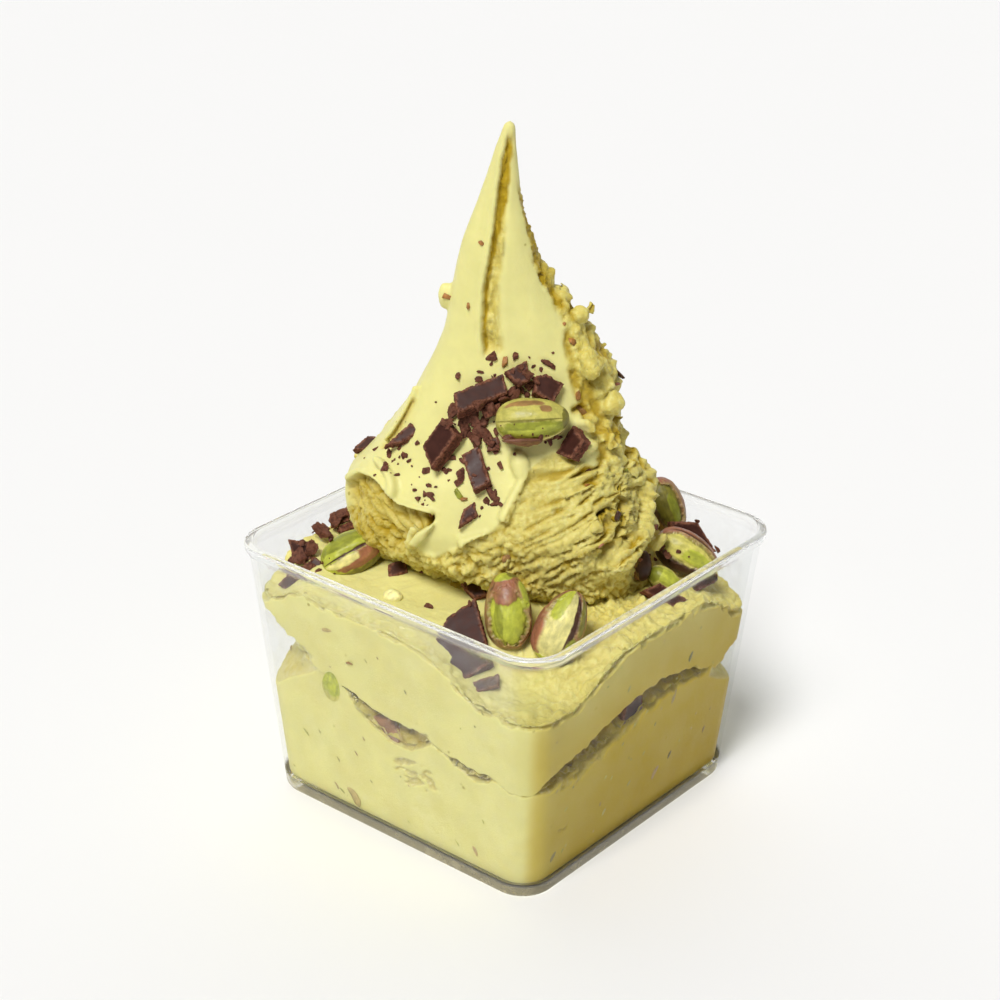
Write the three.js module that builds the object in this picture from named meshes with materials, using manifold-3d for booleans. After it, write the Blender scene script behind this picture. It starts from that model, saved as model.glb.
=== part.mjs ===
// Gelato cup: a clear tapered cup with two layers of pistachio gelato, a scooped lobe drawn up
// into a tall peak, broken chocolate and pistachio kernels.
// Millimetres, +Z up. The origin is the middle of the cup's foot, -Y and +X are its front walls.
import * as THREE from 'three';
import { ParametricGeometry } from 'three/addons/geometries/ParametricGeometry.js';
import { mergeVertices } from 'three/addons/utils/BufferGeometryUtils.js';
import Module from 'manifold-3d';

const wasm = await Module();
wasm.setup();

// ---- Driving dimensions -------------------------------------------------------------------

const CLEARANCE = 0.3; // between any two pieces that touch
const POCKET = 0.6; // how much larger the bed of a topping is than the topping, all round

// The cup is a square with rounded corners, wider at the rim than at the foot.
const CUP = {
  height: 57,
  rimHalf: 40, // half of the outer side, over the rim bead
  rimRadius: 8.4,
  rimDepth: 2.2, // height of the rim bead
  rimOverhang: 0.8, // how far the bead stands out from the wall
  rimWall: 1.9, // wall thickness at the bead
  rimRound: 0.5, // rounding of the bead's edges
  footHalf: 34.5,
  footRadius: 7.1,
  footRound: 1.2,
  wall: 1.2,
  floor: 3.0,
  floorFillet: 1.6,
};
const ARC_MIDDLE = 1 - Math.SQRT1_2; // inset of a quarter round's middle, per unit of radius
const CUP_ARC_STEPS = 6;
const CUP_SIDE_STEPS = 1;

// The swirl's broad side faces the front corner. Its plan is set in two axes: "across" runs to
// the right seen from the front corner, "toward" runs to the front corner.
const FACING_DEG = 39.2;

// Gelato in the cup.
const LAYER_TOP = 49; // height of the filling at the middle
const LAYER_SLOPE = 0.05; // how much lower it lies per millimetre of +X
// Hollows in the top of the filling: a dip this deep round a place in x and y, at its deepest
// within "reach - run" of it and gone beyond "reach".
const FILL_DIPS = [
  { x: 38, y: -38, depth: 6.6, reach: 29, run: 16 },
  { x: 38, y: 38, depth: 8, reach: 22, run: 18 },
  { x: -38, y: -38, depth: 5.5, reach: 17, run: 13 },
];
const FILL_SWELL = { height: 1.6, across: 27, toward: 18, behind: 2 }; // under the swirl
const FILL_LUMPS = { height: 0.5, xWave: 0.21, xShift: 1.3, yWave: 0.17, yShift: 0.6 };
// The seam between the layers rises away from the front corner and falls at the rear right.
const SEAM = { frontCorner: 24.5, rise: 9.5, reach: 46, cornerX: 35, cornerY: -35 };
const SEAM_FALL = { depth: 12, fromX: -10, overX: 45, fromY: 3, overY: 30 };
// The open wedge between the layers at the front walls: its height and how far in it reaches.
// It closes to the left on one wall, and to a share of its height on the other.
const CRACK = { height: 5.5, depth: 6, middle: 30 };
const CRACK_LEFT = { fromX: -10, over: 14 };
const CRACK_RIGHT = { share: 0.35, toY: -15, over: 12 };
// Where the layers stand back from a corner of the cup, by height: added corner radius.
const REAR_RECESS = { radius: 12, middle: 27.5, spread: 4 };
const LEFT_RECESS = { radius: 17, middle: 34.5, spread: 6.5 };
// Rings of a layer: over the top from the wall in, under the lower one from the middle out, and
// up the sides. The first side ring of the lower one clears the fillet of the cup's floor.
const OVER_SCALES = [0.965, 0.9, 0.8, 0.66, 0.5, 0.3, 0];
const FLOOR_SCALES = [0, 0.6, 0.94];
const SIDE_RISES = [0.1, 0.25, 0.42, 0.6, 0.8, 0.97];
const LAYER_ARC_STEPS = 4;
const LAYER_SIDE_STEPS = 6;
const EDGE_PASSES = 14;

// Plan of the swirl by height: how far it reaches left, right, forward and back, and how far
// its broad axis is turned, in degrees.
const SWIRL = [
  { z: 54, left: 29.8, right: 28.6, front: 14.6, back: 19.0, turn: 15 },
  { z: 57, left: 31.6, right: 29.4, front: 17.2, back: 20.4, turn: 14.5 },
  { z: 60.5, left: 33.0, right: 29.6, front: 18.6, back: 21.2, turn: 14 },
  { z: 64, left: 33.4, right: 29.4, front: 18.8, back: 21.8, turn: 13 },
  { z: 68, left: 33.0, right: 28.3, front: 17.6, back: 21.6, turn: 12 },
  { z: 71, left: 31.0, right: 27.0, front: 16.2, back: 21.0, turn: 10 },
  { z: 74, left: 27.6, right: 25.6, front: 14.6, back: 20.3, turn: 8 },
  { z: 77, left: 24.8, right: 24.1, front: 12.9, back: 19.4, turn: 6 },
  { z: 80, left: 22.8, right: 23.0, front: 11.2, back: 18.4, turn: 4 },
  { z: 85, left: 19.6, right: 21.7, front: 8.8, back: 16.5, turn: 2 },
  { z: 90, left: 17.1, right: 20.8, front: 7.0, back: 14.5, turn: 0 },
  { z: 95, left: 14.7, right: 19.2, front: 5.7, back: 12.5, turn: 0 },
  { z: 100, left: 13.0, right: 16.3, front: 4.8, back: 10.8, turn: 0 },
  { z: 105, left: 12.1, right: 12.3, front: 4.2, back: 9.2, turn: 0 },
  { z: 109, left: 11.7, right: 8.4, front: 3.8, back: 7.9, turn: 0 },
  { z: 113, left: 11.0, right: 6.3, front: 3.4, back: 6.8, turn: 0 },
  { z: 119, left: 9.6, right: 4.2, front: 2.8, back: 5.2, turn: 0 },
  { z: 125, left: 7.5, right: 2.3, front: 2.2, back: 3.9, turn: 0 },
  { z: 131, left: 5.5, right: 1.0, front: 1.7, back: 2.8, turn: 0 },
  { z: 137, left: 3.8, right: 0.4, front: 1.2, back: 2.0, turn: 0 },
  { z: 141, left: 2.4, right: 0.1, front: 0.8, back: 1.2, turn: 0 },
];
const TIP = { z: 142.7, across: -0.9, toward: 0 };
const SWIRL_FOOT = { left: 26, right: 26.5, front: 10, back: 17, turn: 15 };
const SWIRL_SQUARENESS = 2.3; // 2 is an ellipse
const SWIRL_STEPS = 44;
// Relief, by the plan angle from "across" towards "toward": the long crease up the peak's front,
// the hollow cut under the left end of the lobe, and the ridges round its right side.
const CREASE = { deg: 112, widthDeg: 46, depth: 1.5, from: 94, fadeIn: 8, to: 140, fadeOut: 12 };
const UNDERCUT = { deg: 148, halfDeg: 30, z: 60, halfHeight: 8, depth: 2.6 };
const SIDE_RIDGES = { deg: 22, halfDeg: 75, pitch: 6.4, depth: 0.8, from: 52, to: 104, fade: 6,
  slantPerDeg: 0.1 };
const SWIRL_FOOT_SCALES = [0, 0.45, 0.8, 1];

// Pistachio kernels: place in across, toward and height; axis as a direction in the same three.
// A kernel is an egg: "fullness" below 1 blunts its ends, "lean" moves its bulk to one end.
const KERNEL = { long: 14.8, wide: 9.2, thick: 8.6, fullness: 0.9, lean: 0.14 };
const KERNELS = [
  { name: 'pistachio_front_left', at: [0.2, 26.5, 53.3], axis: [-0.09, -0.45, 0.89] },
  { name: 'pistachio_front_right', at: [10.5, 29.5, 51.7], axis: [0.38, -0.3, 0.87] },
  { name: 'pistachio_left', at: [-30.8, 2, 53.2], axis: [0.86, -0.3, 0.4], size: 0.93 },
  { name: 'pistachio_on_swirl', at: [4.3, 11.4, 86.9], axis: [1, 0, 0.08], size: 0.92 },
  { name: 'pistachio_back_right', at: [32.8, -15.6, 55.6], axis: [0.4, 0.25, -0.88], size: 0.85 },
  { name: 'pistachio_right', at: [36.5, -1, 52.5], axis: [0.88, 0.2, -0.43], size: 0.88 },
  { name: 'pistachio_low_right', at: [27, 6, 53], axis: [0.12, -0.3, 0.95], size: 0.42 },
  { name: 'pistachio_half_right', at: [31.9, 6, 49.8], axis: [0.85, 0.2, -0.49], size: 0.52 },
  { name: 'pistachio_in_layer', at: [-33, 16, 31.8], axis: [0.17, 0, 0.99], size: 0.52 },
];
const KERNEL_AROUND = 10;
const KERNEL_ALONG = 8;

// Broken chocolate: size of the flat face, its place in across, toward and height, the
// direction it faces as azimuth to the right of toward and elevation, and its turn in that face.
// taper is the far edge's length over the near edge's, skew shifts the far edge, and clip is the
// share of the far and the left edge that a broken-off far left corner takes.
const CHUNKS = [
  { name: 'bar', long: 10.5, wide: 4.3, thick: 3.6, taper: 1, skew: 1, turn: 25,
    at: [-6.2, 8.9, 91.1], face: [0, 48] },
  { name: 'top_left', long: 2.7, wide: 3.7, thick: 2.6, taper: 1.8, skew: 0, turn: 26,
    at: [1.8, 7.8, 94.9], face: [5, 40] },
  { name: 'top_right', long: 4.4, wide: 4.6, thick: 2.8, taper: 1.3, skew: -0.7, turn: -38,
    at: [7.4, 8.2, 92.3], face: [15, 40], clip: [0.3, 0.3] },
  { name: 'kite', long: 8.5, wide: 5.1, thick: 3.2, taper: 0.8, skew: 1.3, turn: 72,
    at: [-14.3, 11.2, 81.3], face: [-40, 32] },
  { name: 'block', long: 3.8, wide: 7.8, thick: 3, taper: 1, skew: 1.1, turn: 34,
    at: [-6.9, 14.4, 77.6], face: [-10, 42] },
  { name: 'wedge', long: 4.5, wide: 4.1, thick: 3, taper: 1.4, skew: 0.1, turn: 76,
    at: [11.7, 12, 82.1], face: [-42, 30] },
  { name: 'short', long: 3, wide: 2, thick: 2, taper: 1.4, skew: 0.4, turn: 21,
    at: [-3.7, 9.6, 87.9], face: [0, 40] },
  { name: 'corner', long: 2.5, wide: 2.6, thick: 2, taper: 0.7, skew: 0.4, turn: 9,
    at: [-3.3, 11.6, 81.8], face: [0, 35] },
  { name: 'lobe_end', long: 6, wide: 3.4, thick: 2.2, taper: 0.7, skew: 1.3, turn: 7,
    at: [-28.5, -7.2, 73.1], face: [-20, 50] },
  { name: 'lobe_top', long: 3.9, wide: 2.5, thick: 2.2, taper: 1.8, skew: -2.1, turn: 49,
    at: [-19.7, 4.3, 81], face: [-10, 45] },
  { name: 'lobe_chip', long: 4.4, wide: 2.7, thick: 1.8, taper: 0.6, skew: 1.7, turn: 34,
    at: [-8.4, 17.6, 69.2], face: [0, 40] },
  { name: 'left_chip', long: 4, wide: 3.2, thick: 2.2, taper: 1, skew: 0.7, turn: 25,
    at: [-22.3, 6.2, 51.6], face: [0, 55] },
  { name: 'front_chip', long: 3, wide: 3.9, thick: 2, taper: 1, skew: -1.5, turn: 18,
    at: [-5.7, 13.6, 51.4], face: [0, 50] },
  { name: 'front_slab', long: 6.3, wide: 13, thick: 3.2, taper: 2.3, skew: 0.6, turn: 47,
    at: [-8.9, 31.9, 48.6], face: [-15, 52], clip: [0.55, 0.3] },
  { name: 'front_low', long: 4.5, wide: 2.4, thick: 2, taper: 1.2, skew: 0, turn: 25,
    at: [-3.8, 38.2, 43.9], face: [-15, 40] },
  { name: 'left_slab', long: 3.1, wide: 4.3, thick: 2.8, taper: 1.9, skew: -0.3, turn: -8,
    at: [-41.6, 0.2, 51.8], face: [0, 25] },
  { name: 'left_wedge', long: 3, wide: 3.1, thick: 2, taper: 1.1, skew: 0.9, turn: -24,
    at: [-39.4, 3.4, 50.8], face: [-10, 40] },
  { name: 'left_star', long: 2.7, wide: 2, thick: 1.6, taper: 0.5, skew: 0.3, turn: 39,
    at: [-38.2, -7.4, 53.4], face: [0, 30] },
  { name: 'left_block', long: 4.2, wide: 2.8, thick: 2.4, taper: 1, skew: 0.9, turn: 25,
    at: [-35.3, -11.6, 54], face: [0, 30] },
  { name: 'left_back', long: 5.6, wide: 2.2, thick: 2, taper: 0.85, skew: -0.7, turn: 25,
    at: [-32.3, -10.6, 53.3], face: [0, 40] },
  { name: 'left_low', long: 4.2, wide: 5.6, thick: 2, taper: 0.75, skew: -1.4, turn: 59,
    at: [-42.3, 6.7, 48.4], face: [-20, 40] },
  { name: 'right_slab', long: 7, wide: 3.4, thick: 2.4, taper: 1, skew: 2.6, turn: -42,
    at: [30.6, 11.2, 49.9], face: [30, 40] },
  { name: 'right_tall', long: 9, wide: 6, thick: 2.4, taper: 0.7, skew: -2.9, turn: -10,
    at: [39, -7.4, 53], face: [20, 25] },
  { name: 'right_low', long: 8, wide: 2.2, thick: 2, taper: 1, skew: 0.6, turn: 4,
    at: [40, 0.5, 46.6], face: [40, 40] },
  { name: 'in_layer', long: 7, wide: 4.4, thick: 1.8, taper: 0.8, skew: 0.6, turn: 4,
    at: [25.2, 24.7, 30.6], face: [50.8, 0] },
];
const CHUNK_BEVEL = 0.25;
const KERNEL_SIDE_HINT = [1, 0.3, 0]; // the way a kernel's wide side faces

// A chip of nut skin that shows in the crack of the front left wall.
const SKIN_CHIP = { name: 'skin_chip_in_layer', long: 8, wide: 3.4, thick: 1.6, taper: 0.6,
  skew: 0.5, turn: -42, at: [-23.0, 26.2, 25.9], face: [-39.2, 0] };

// ---- Materials ----------------------------------------------------------------------------

const CLEAR = new THREE.MeshStandardMaterial({
  color: 0xeef3f2, roughness: 0.06, metalness: 0, transparent: true, opacity: 0.3,
});
const GELATO = new THREE.MeshStandardMaterial({ color: 0xe6dd96, roughness: 0.55, metalness: 0 });
const CHOCOLATE = new THREE.MeshStandardMaterial({ color: 0x3d1f1a, roughness: 0.4, metalness: 0 });
const NUT = new THREE.MeshStandardMaterial({ color: 0xa3b23c, roughness: 0.45, metalness: 0 });
const NUT_SKIN = new THREE.MeshStandardMaterial({ color: 0x9a6a58, roughness: 0.6, metalness: 0 });

// ---- Geometry helpers ---------------------------------------------------------------------

const radians = THREE.MathUtils.degToRad;
const smooth = (x) => THREE.MathUtils.smoothstep(x, 0, 1);

// across, toward -> x, y
function planPoint(across, toward) {
  const c = Math.cos(radians(FACING_DEG));
  const s = Math.sin(radians(FACING_DEG));
  return [c * across + s * toward, s * across - c * toward];
}

// x, y -> across, toward
function planAxes(x, y) {
  const c = Math.cos(radians(FACING_DEG));
  const s = Math.sin(radians(FACING_DEG));
  return [c * x + s * y, s * x - c * y];
}

// A closed geometry as a solid: shared points merged, flattened triangles dropped, faces out.
function toSolid(geometry) {
  const bare = geometry.index ? geometry.toNonIndexed() : geometry.clone();
  bare.deleteAttribute('normal');
  bare.deleteAttribute('uv');
  const merged = mergeVertices(bare, 1e-4);
  const index = merged.index.array;
  const kept = [];
  for (let i = 0; i < index.length; i += 3) {
    const [a, b, c] = [index[i], index[i + 1], index[i + 2]];
    if (a !== b && b !== c && c !== a) kept.push(a, b, c);
  }
  const build = (triangles) => new wasm.Manifold(new wasm.Mesh({
    numProp: 3,
    vertProperties: merged.attributes.position.array,
    triVerts: new Uint32Array(triangles),
  }));
  const solid = build(kept);
  return solid.volume() < 0 ? build(kept.reverse()) : solid;
}

function toMesh(name, solid, material) {
  const made = solid.getMesh();
  const geometry = new THREE.BufferGeometry();
  geometry.setAttribute('position', new THREE.BufferAttribute(made.vertProperties, 3));
  geometry.setIndex(new THREE.BufferAttribute(made.triVerts, 1));
  geometry.computeVertexNormals();
  const mesh = new THREE.Mesh(geometry, material);
  mesh.name = name;
  return mesh;
}

// A closed body from rings: pointAt(step, ring, target) gives each corner point, and the first
// and the last ring each shrink to one point.
function ringBody(pointAt, steps, rings) {
  const surface = (u, v, target) => {
    const step = Math.round(u * steps) % steps;
    const ring = Math.round(v * rings);
    pointAt(step, ring, target);
  };
  return toSolid(new ParametricGeometry(surface, steps, rings));
}

// Point number "step" on a square with rounded corners. radii holds one radius per corner,
// starting at (+X, +Y) and going round anticlockwise.
function roundedSquare(step, half, radii, arcSteps, sideSteps) {
  const perCorner = arcSteps + sideSteps;
  const corner = Math.floor(step / perCorner) % 4;
  const along = step % perCorner;
  const arcPoint = (which, part) => {
    const radius = radii[which];
    const middle = radians(45 + 90 * which);
    const angle = radians(90 * (which + part));
    return [
      Math.sign(Math.cos(middle)) * (half - radius) + radius * Math.cos(angle),
      Math.sign(Math.sin(middle)) * (half - radius) + radius * Math.sin(angle),
    ];
  };
  if (along <= arcSteps) return arcPoint(corner, along / arcSteps);
  const [x0, y0] = arcPoint(corner, 1);
  const [x1, y1] = arcPoint((corner + 1) % 4, 0);
  const part = (along - arcSteps) / sideSteps;
  return [x0 + (x1 - x0) * part, y0 + (y1 - y0) * part];
}

// ---- Cup ----------------------------------------------------------------------------------

const wallTopHalf = CUP.rimHalf - CUP.rimOverhang;

// Half side and corner radius of the wall's outside at a height.
function wallAt(z) {
  const part = z / CUP.height;
  return {
    half: CUP.footHalf + (wallTopHalf - CUP.footHalf) * part,
    radius: CUP.footRadius + (CUP.rimRadius - CUP.rimOverhang - CUP.footRadius) * part,
  };
}

function cup() {
  const rings = [];
  const ring = (z, inset, scale = 1) => {
    const { half, radius } = wallAt(z);
    rings.push({ z, half: half - inset, radius: radius - inset, scale });
  };
  const rimFoot = CUP.height - CUP.rimDepth;
  const rimInset = CUP.rimWall - CUP.rimOverhang;
  ring(0, CUP.footRound, 0);
  ring(0, CUP.footRound);
  ring(CUP.footRound * ARC_MIDDLE, CUP.footRound * ARC_MIDDLE);
  ring(CUP.footRound, 0);
  ring(rimFoot, 0);
  ring(rimFoot + CUP.rimRound, -CUP.rimOverhang);
  ring(CUP.height - CUP.rimRound, -CUP.rimOverhang);
  ring(CUP.height, -CUP.rimOverhang + CUP.rimRound);
  ring(CUP.height, rimInset - CUP.rimRound);
  ring(CUP.height - CUP.rimRound, rimInset);
  ring(rimFoot, CUP.wall);
  ring(CUP.floor + CUP.floorFillet, CUP.wall);
  ring(CUP.floor + CUP.floorFillet * ARC_MIDDLE, CUP.wall + CUP.floorFillet * ARC_MIDDLE);
  ring(CUP.floor, CUP.wall + CUP.floorFillet);
  ring(CUP.floor, CUP.wall + CUP.floorFillet, 0);
  const steps = 4 * (CUP_ARC_STEPS + CUP_SIDE_STEPS);
  const pointAt = (step, index, target) => {
    const { z, half, radius, scale } = rings[index];
    const radii = [radius, radius, radius, radius];
    const [x, y] = roundedSquare(step, half, radii, CUP_ARC_STEPS, CUP_SIDE_STEPS);
    target.set(x * scale, y * scale, z);
  };
  return ringBody(pointAt, steps, rings.length - 1);
}

// ---- Gelato in the cup --------------------------------------------------------------------

// Height of the filling at a place.
function fillTop(x, y) {
  const [across, toward] = planAxes(x, y);
  const aside = across / FILL_SWELL.across;
  const ahead = (toward + FILL_SWELL.behind) / FILL_SWELL.toward;
  const swell = FILL_SWELL.height * Math.exp(-(aside ** 2) - ahead ** 2);
  const lumps = FILL_LUMPS.height * Math.sin(FILL_LUMPS.xWave * x + FILL_LUMPS.xShift)
    * Math.cos(FILL_LUMPS.yWave * y - FILL_LUMPS.yShift);
  const dips = FILL_DIPS.reduce((sum, dip) => {
    const away = Math.hypot(x - dip.x, y - dip.y);
    return sum + dip.depth * smooth((dip.reach - away) / dip.run);
  }, 0);
  return LAYER_TOP - LAYER_SLOPE * x + swell + lumps - dips;
}

// Height of the seam between the two layers.
function seamAt(x, y) {
  const away = Math.hypot(x - SEAM.cornerX, y - SEAM.cornerY);
  const rear = smooth((y - SEAM_FALL.fromY) / SEAM_FALL.overY)
    * smooth((x - SEAM_FALL.fromX) / SEAM_FALL.overX);
  return SEAM.frontCorner + SEAM.rise * smooth(away / SEAM.reach) - SEAM_FALL.depth * rear;
}

// How far the seam gapes, widest round the front corner and closed at the left.
function crackAt(x, y) {
  const inside = wallAt(CRACK.middle).half - CUP.wall;
  const toWall = inside - Math.max(Math.abs(x), Math.abs(y));
  const alongLeft = smooth((x - CRACK_LEFT.fromX) / CRACK_LEFT.over) * (y < 0 ? 1 : 0);
  const widening = smooth((CRACK_RIGHT.toY - y) / CRACK_RIGHT.over);
  const alongRight = THREE.MathUtils.lerp(CRACK_RIGHT.share, 1, widening);
  const open = x > -y ? alongRight : alongLeft;
  return CRACK.height * open * smooth(1 - toWall / CRACK.depth);
}

// Corner radii of the layers' edge at a height.
function cornerRadii(z) {
  const plain = wallAt(z).radius - CUP.wall - CLEARANCE;
  const recessed = ({ radius, middle, spread }) => (
    plain + radius * Math.exp(-(((z - middle) / spread) ** 2)));
  return [recessed(REAR_RECESS), plain, recessed(LEFT_RECESS), plain];
}

// One layer between two height functions. Rings run from the middle of the underside, out and
// up the side, and back in over the top.
function layer(bottomAt, topAt, underScales) {
  const stops = [
    ...underScales.map((scale) => ({ scale, rise: 0 })),
    ...SIDE_RISES.map((rise) => ({ scale: 1, rise })),
    ...OVER_SCALES.map((scale) => ({ scale, rise: 1 })),
  ];
  const steps = 4 * (LAYER_ARC_STEPS + LAYER_SIDE_STEPS);
  const edge = (step, z) => {
    const half = wallAt(z).half - CUP.wall - CLEARANCE;
    return roundedSquare(step, half, cornerRadii(z), LAYER_ARC_STEPS, LAYER_SIDE_STEPS);
  };
  const pointAt = (step, index, target) => {
    const { scale, rise } = stops[index];
    // The edge leans with the wall, so its height and its place are found together.
    let z = LAYER_TOP / 2;
    for (let pass = 0; pass < EDGE_PASSES; pass++) {
      const [ex, ey] = edge(step, z);
      const low = bottomAt(ex, ey);
      z += (low + (topAt(ex, ey) - low) * rise - z) / 2;
    }
    const [x, y] = edge(step, z).map((value) => value * scale);
    if (scale < 1) z = rise === 0 ? bottomAt(x, y) : topAt(x, y);
    target.set(x, y, z);
  };
  return ringBody(pointAt, steps, stops.length - 1);
}

function lowerLayer() {
  return layer(
    () => CUP.floor + CLEARANCE,
    (x, y) => seamAt(x, y) - CLEARANCE - crackAt(x, y),
    FLOOR_SCALES,
  );
}

function upperLayer() {
  return layer((x, y) => seamAt(x, y) + CLEARANCE / 2, fillTop, [...OVER_SCALES].reverse());
}

// ---- Swirl --------------------------------------------------------------------------------

// Relief of the swirl, out from its plan outline.
function swirlRelief(deg, z) {
  const from = (middle) => ((deg - middle + 540) % 360) - 180;
  const fade = smooth((z - CREASE.from) / CREASE.fadeIn)
    * smooth((CREASE.to - z) / CREASE.fadeOut);
  const pastCrease = CREASE.deg - deg;
  const inCrease = pastCrease > 0 && pastCrease < CREASE.widthDeg;
  const crease = inCrease ? CREASE.depth * fade * smooth(1 - pastCrease / CREASE.widthDeg) : 0;
  const under = smooth(1 - Math.abs(from(UNDERCUT.deg)) / UNDERCUT.halfDeg)
    * smooth(1 - Math.abs(z - UNDERCUT.z) / UNDERCUT.halfHeight);
  const side = smooth(1 - Math.abs(from(SIDE_RIDGES.deg)) / SIDE_RIDGES.halfDeg)
    * smooth((z - SIDE_RIDGES.from) / SIDE_RIDGES.fade)
    * smooth((SIDE_RIDGES.to - z) / SIDE_RIDGES.fade);
  const phase = (z + SIDE_RIDGES.slantPerDeg * deg) / SIDE_RIDGES.pitch;
  const ridges = SIDE_RIDGES.depth * side * Math.sin(2 * Math.PI * phase);
  return ridges - crease - UNDERCUT.depth * under;
}

function planOutline(plan, deg, out) {
  const across = (plan.right - plan.left) / 2;
  const toward = (plan.front - plan.back) / 2;
  const a = (plan.right + plan.left) / 2;
  const b = (plan.front + plan.back) / 2;
  const c = Math.cos(radians(deg));
  const s = Math.sin(radians(deg));
  const n = SWIRL_SQUARENESS;
  const reach = (Math.abs(c / a) ** n + Math.abs(s / b) ** n) ** (-1 / n) + out;
  const turn = radians(plan.turn);
  return [
    across + reach * (c * Math.cos(turn) - s * Math.sin(turn)),
    toward + reach * (c * Math.sin(turn) + s * Math.cos(turn)),
  ];
}

function swirl() {
  const footRings = SWIRL_FOOT_SCALES.length;
  const rings = footRings + SWIRL.length;
  const footMiddle = [
    (SWIRL_FOOT.right - SWIRL_FOOT.left) / 2,
    (SWIRL_FOOT.front - SWIRL_FOOT.back) / 2,
  ];
  const pointAt = (step, ring, target) => {
    const deg = (360 * step) / SWIRL_STEPS;
    if (ring < footRings) {
      const [a, t] = planOutline(SWIRL_FOOT, deg, 0);
      const across = THREE.MathUtils.lerp(footMiddle[0], a, SWIRL_FOOT_SCALES[ring]);
      const toward = THREE.MathUtils.lerp(footMiddle[1], t, SWIRL_FOOT_SCALES[ring]);
      const [x, y] = planPoint(across, toward);
      target.set(x, y, fillTop(x, y) + CLEARANCE);
    } else if (ring < rings) {
      const plan = SWIRL[ring - footRings];
      const [x, y] = planPoint(...planOutline(plan, deg, swirlRelief(deg, plan.z)));
      target.set(x, y, plan.z);
    } else {
      const [x, y] = planPoint(TIP.across, TIP.toward);
      target.set(x, y, TIP.z);
    }
  };
  return ringBody(pointAt, SWIRL_STEPS, rings);
}

// ---- Toppings -----------------------------------------------------------------------------

// A kernel along its own Z, the fuller end down.
function kernelGeometry(size, grow) {
  const surface = (u, v, target) => {
    const around = 2 * Math.PI * (Math.round(u * KERNEL_AROUND) % KERNEL_AROUND) / KERNEL_AROUND;
    const along = Math.PI * v;
    const bulk = Math.sin(along) ** KERNEL.fullness * (1 + KERNEL.lean * Math.cos(along));
    const round = v > 0 && v < 1 ? bulk : 0;
    target.set(
      (KERNEL.wide * size / 2 + grow) * round * Math.cos(around),
      (KERNEL.thick * size / 2 + grow) * round * Math.sin(around),
      -(KERNEL.long * size / 2 + grow) * Math.cos(along),
    );
  };
  return new ParametricGeometry(surface, KERNEL_AROUND, KERNEL_ALONG);
}

// Puts a geometry at across, toward, height, with its Z along the given direction.
function place(geometry, at, zAxis, xHint) {
  const vector = ([across, toward, z]) => {
    const [x, y] = planPoint(across, toward);
    return new THREE.Vector3(x, y, z);
  };
  const z = vector(zAxis).normalize();
  const y = new THREE.Vector3().crossVectors(z, vector(xHint)).normalize();
  const x = new THREE.Vector3().crossVectors(y, z);
  const matrix = new THREE.Matrix4().makeBasis(x, y, z).setPosition(vector(at));
  return geometry.applyMatrix4(matrix);
}

function kernel({ at, axis, size = 1 }, grow = 0) {
  return toSolid(place(kernelGeometry(size, grow), at, axis, KERNEL_SIDE_HINT));
}

// A broken chunk: a tapered block whose flat face looks out and whose corners are bevelled.
function chunk({ long, wide, thick, taper, skew, turn, at, face, clip = [0, 0] }, grow = 0) {
  const near = long / 2 - CHUNK_BEVEL + grow;
  const far = (long / 2) * taper - CHUNK_BEVEL + grow;
  const side = wide / 2 - CHUNK_BEVEL + grow;
  const nearLeft = new THREE.Vector2(-near, -side);
  const nearRight = new THREE.Vector2(near, -side);
  const farRight = new THREE.Vector2(far + skew, side);
  const farLeft = new THREE.Vector2(-far + skew, side);
  const broken = clip[0] > 0
    ? [farLeft.clone().lerp(farRight, clip[0]), farLeft.clone().lerp(nearLeft, clip[1])]
    : [farLeft];
  const outline = new THREE.Shape([nearLeft, nearRight, farRight, ...broken]);
  const bevel = grow > 0 ? 0 : CHUNK_BEVEL;
  const geometry = new THREE.ExtrudeGeometry(outline, {
    depth: thick + 2 * grow - 2 * bevel,
    bevelEnabled: bevel > 0,
    bevelThickness: bevel,
    bevelSize: CHUNK_BEVEL,
    bevelSegments: 1,
  });
  geometry.translate(0, 0, -thick - grow + bevel);
  geometry.rotateZ(radians(turn));
  const [azimuth, elevation] = face.map(radians);
  const out = [
    Math.sin(azimuth) * Math.cos(elevation),
    Math.cos(azimuth) * Math.cos(elevation),
    Math.sin(elevation),
  ];
  const level = [Math.cos(azimuth), -Math.sin(azimuth), 0];
  return toSolid(place(geometry, at, out, level));
}

// ---- Assembly -----------------------------------------------------------------------------

const group = new THREE.Group();
const toppings = [
  ...KERNELS.map((spec) => ({ spec, name: spec.name, make: kernel, material: NUT })),
  ...CHUNKS.map((spec) => (
    { spec, name: `chocolate_${spec.name}`, make: chunk, material: CHOCOLATE })),
  { spec: SKIN_CHIP, name: SKIN_CHIP.name, make: chunk, material: NUT_SKIN },
];

let lower = lowerLayer();
let upper = upperLayer();
let peak = swirl();
const cutters = [];
for (const { spec, name, make, material } of toppings) {
  let piece = make(spec);
  for (const cutter of cutters) piece = piece.subtract(cutter);
  const cutter = make(spec, POCKET);
  lower = lower.subtract(cutter);
  upper = upper.subtract(cutter);
  peak = peak.subtract(cutter);
  cutters.push(cutter);
  group.add(toMesh(name, piece, material));
}
group.add(toMesh('cup', cup(), CLEAR));
group.add(toMesh('gelato_lower', lower, GELATO));
group.add(toMesh('gelato_upper', upper, GELATO));
group.add(toMesh('gelato_swirl', peak, GELATO));

export default group;
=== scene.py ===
"""Gelato cup: clear square cup, two layers of pistachio gelato, a lobe pulled up into a tall peak,
broken dark chocolate and pistachio kernels. Sizes in the functions are millimetres."""
import math

import bmesh
import bpy
import numpy as np
from bpy.props import FloatProperty, FloatVectorProperty, PointerProperty
from bpy.types import Operator, Panel, PropertyGroup
from mathutils import Matrix, Vector
from mathutils.bvhtree import BVHTree


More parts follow.
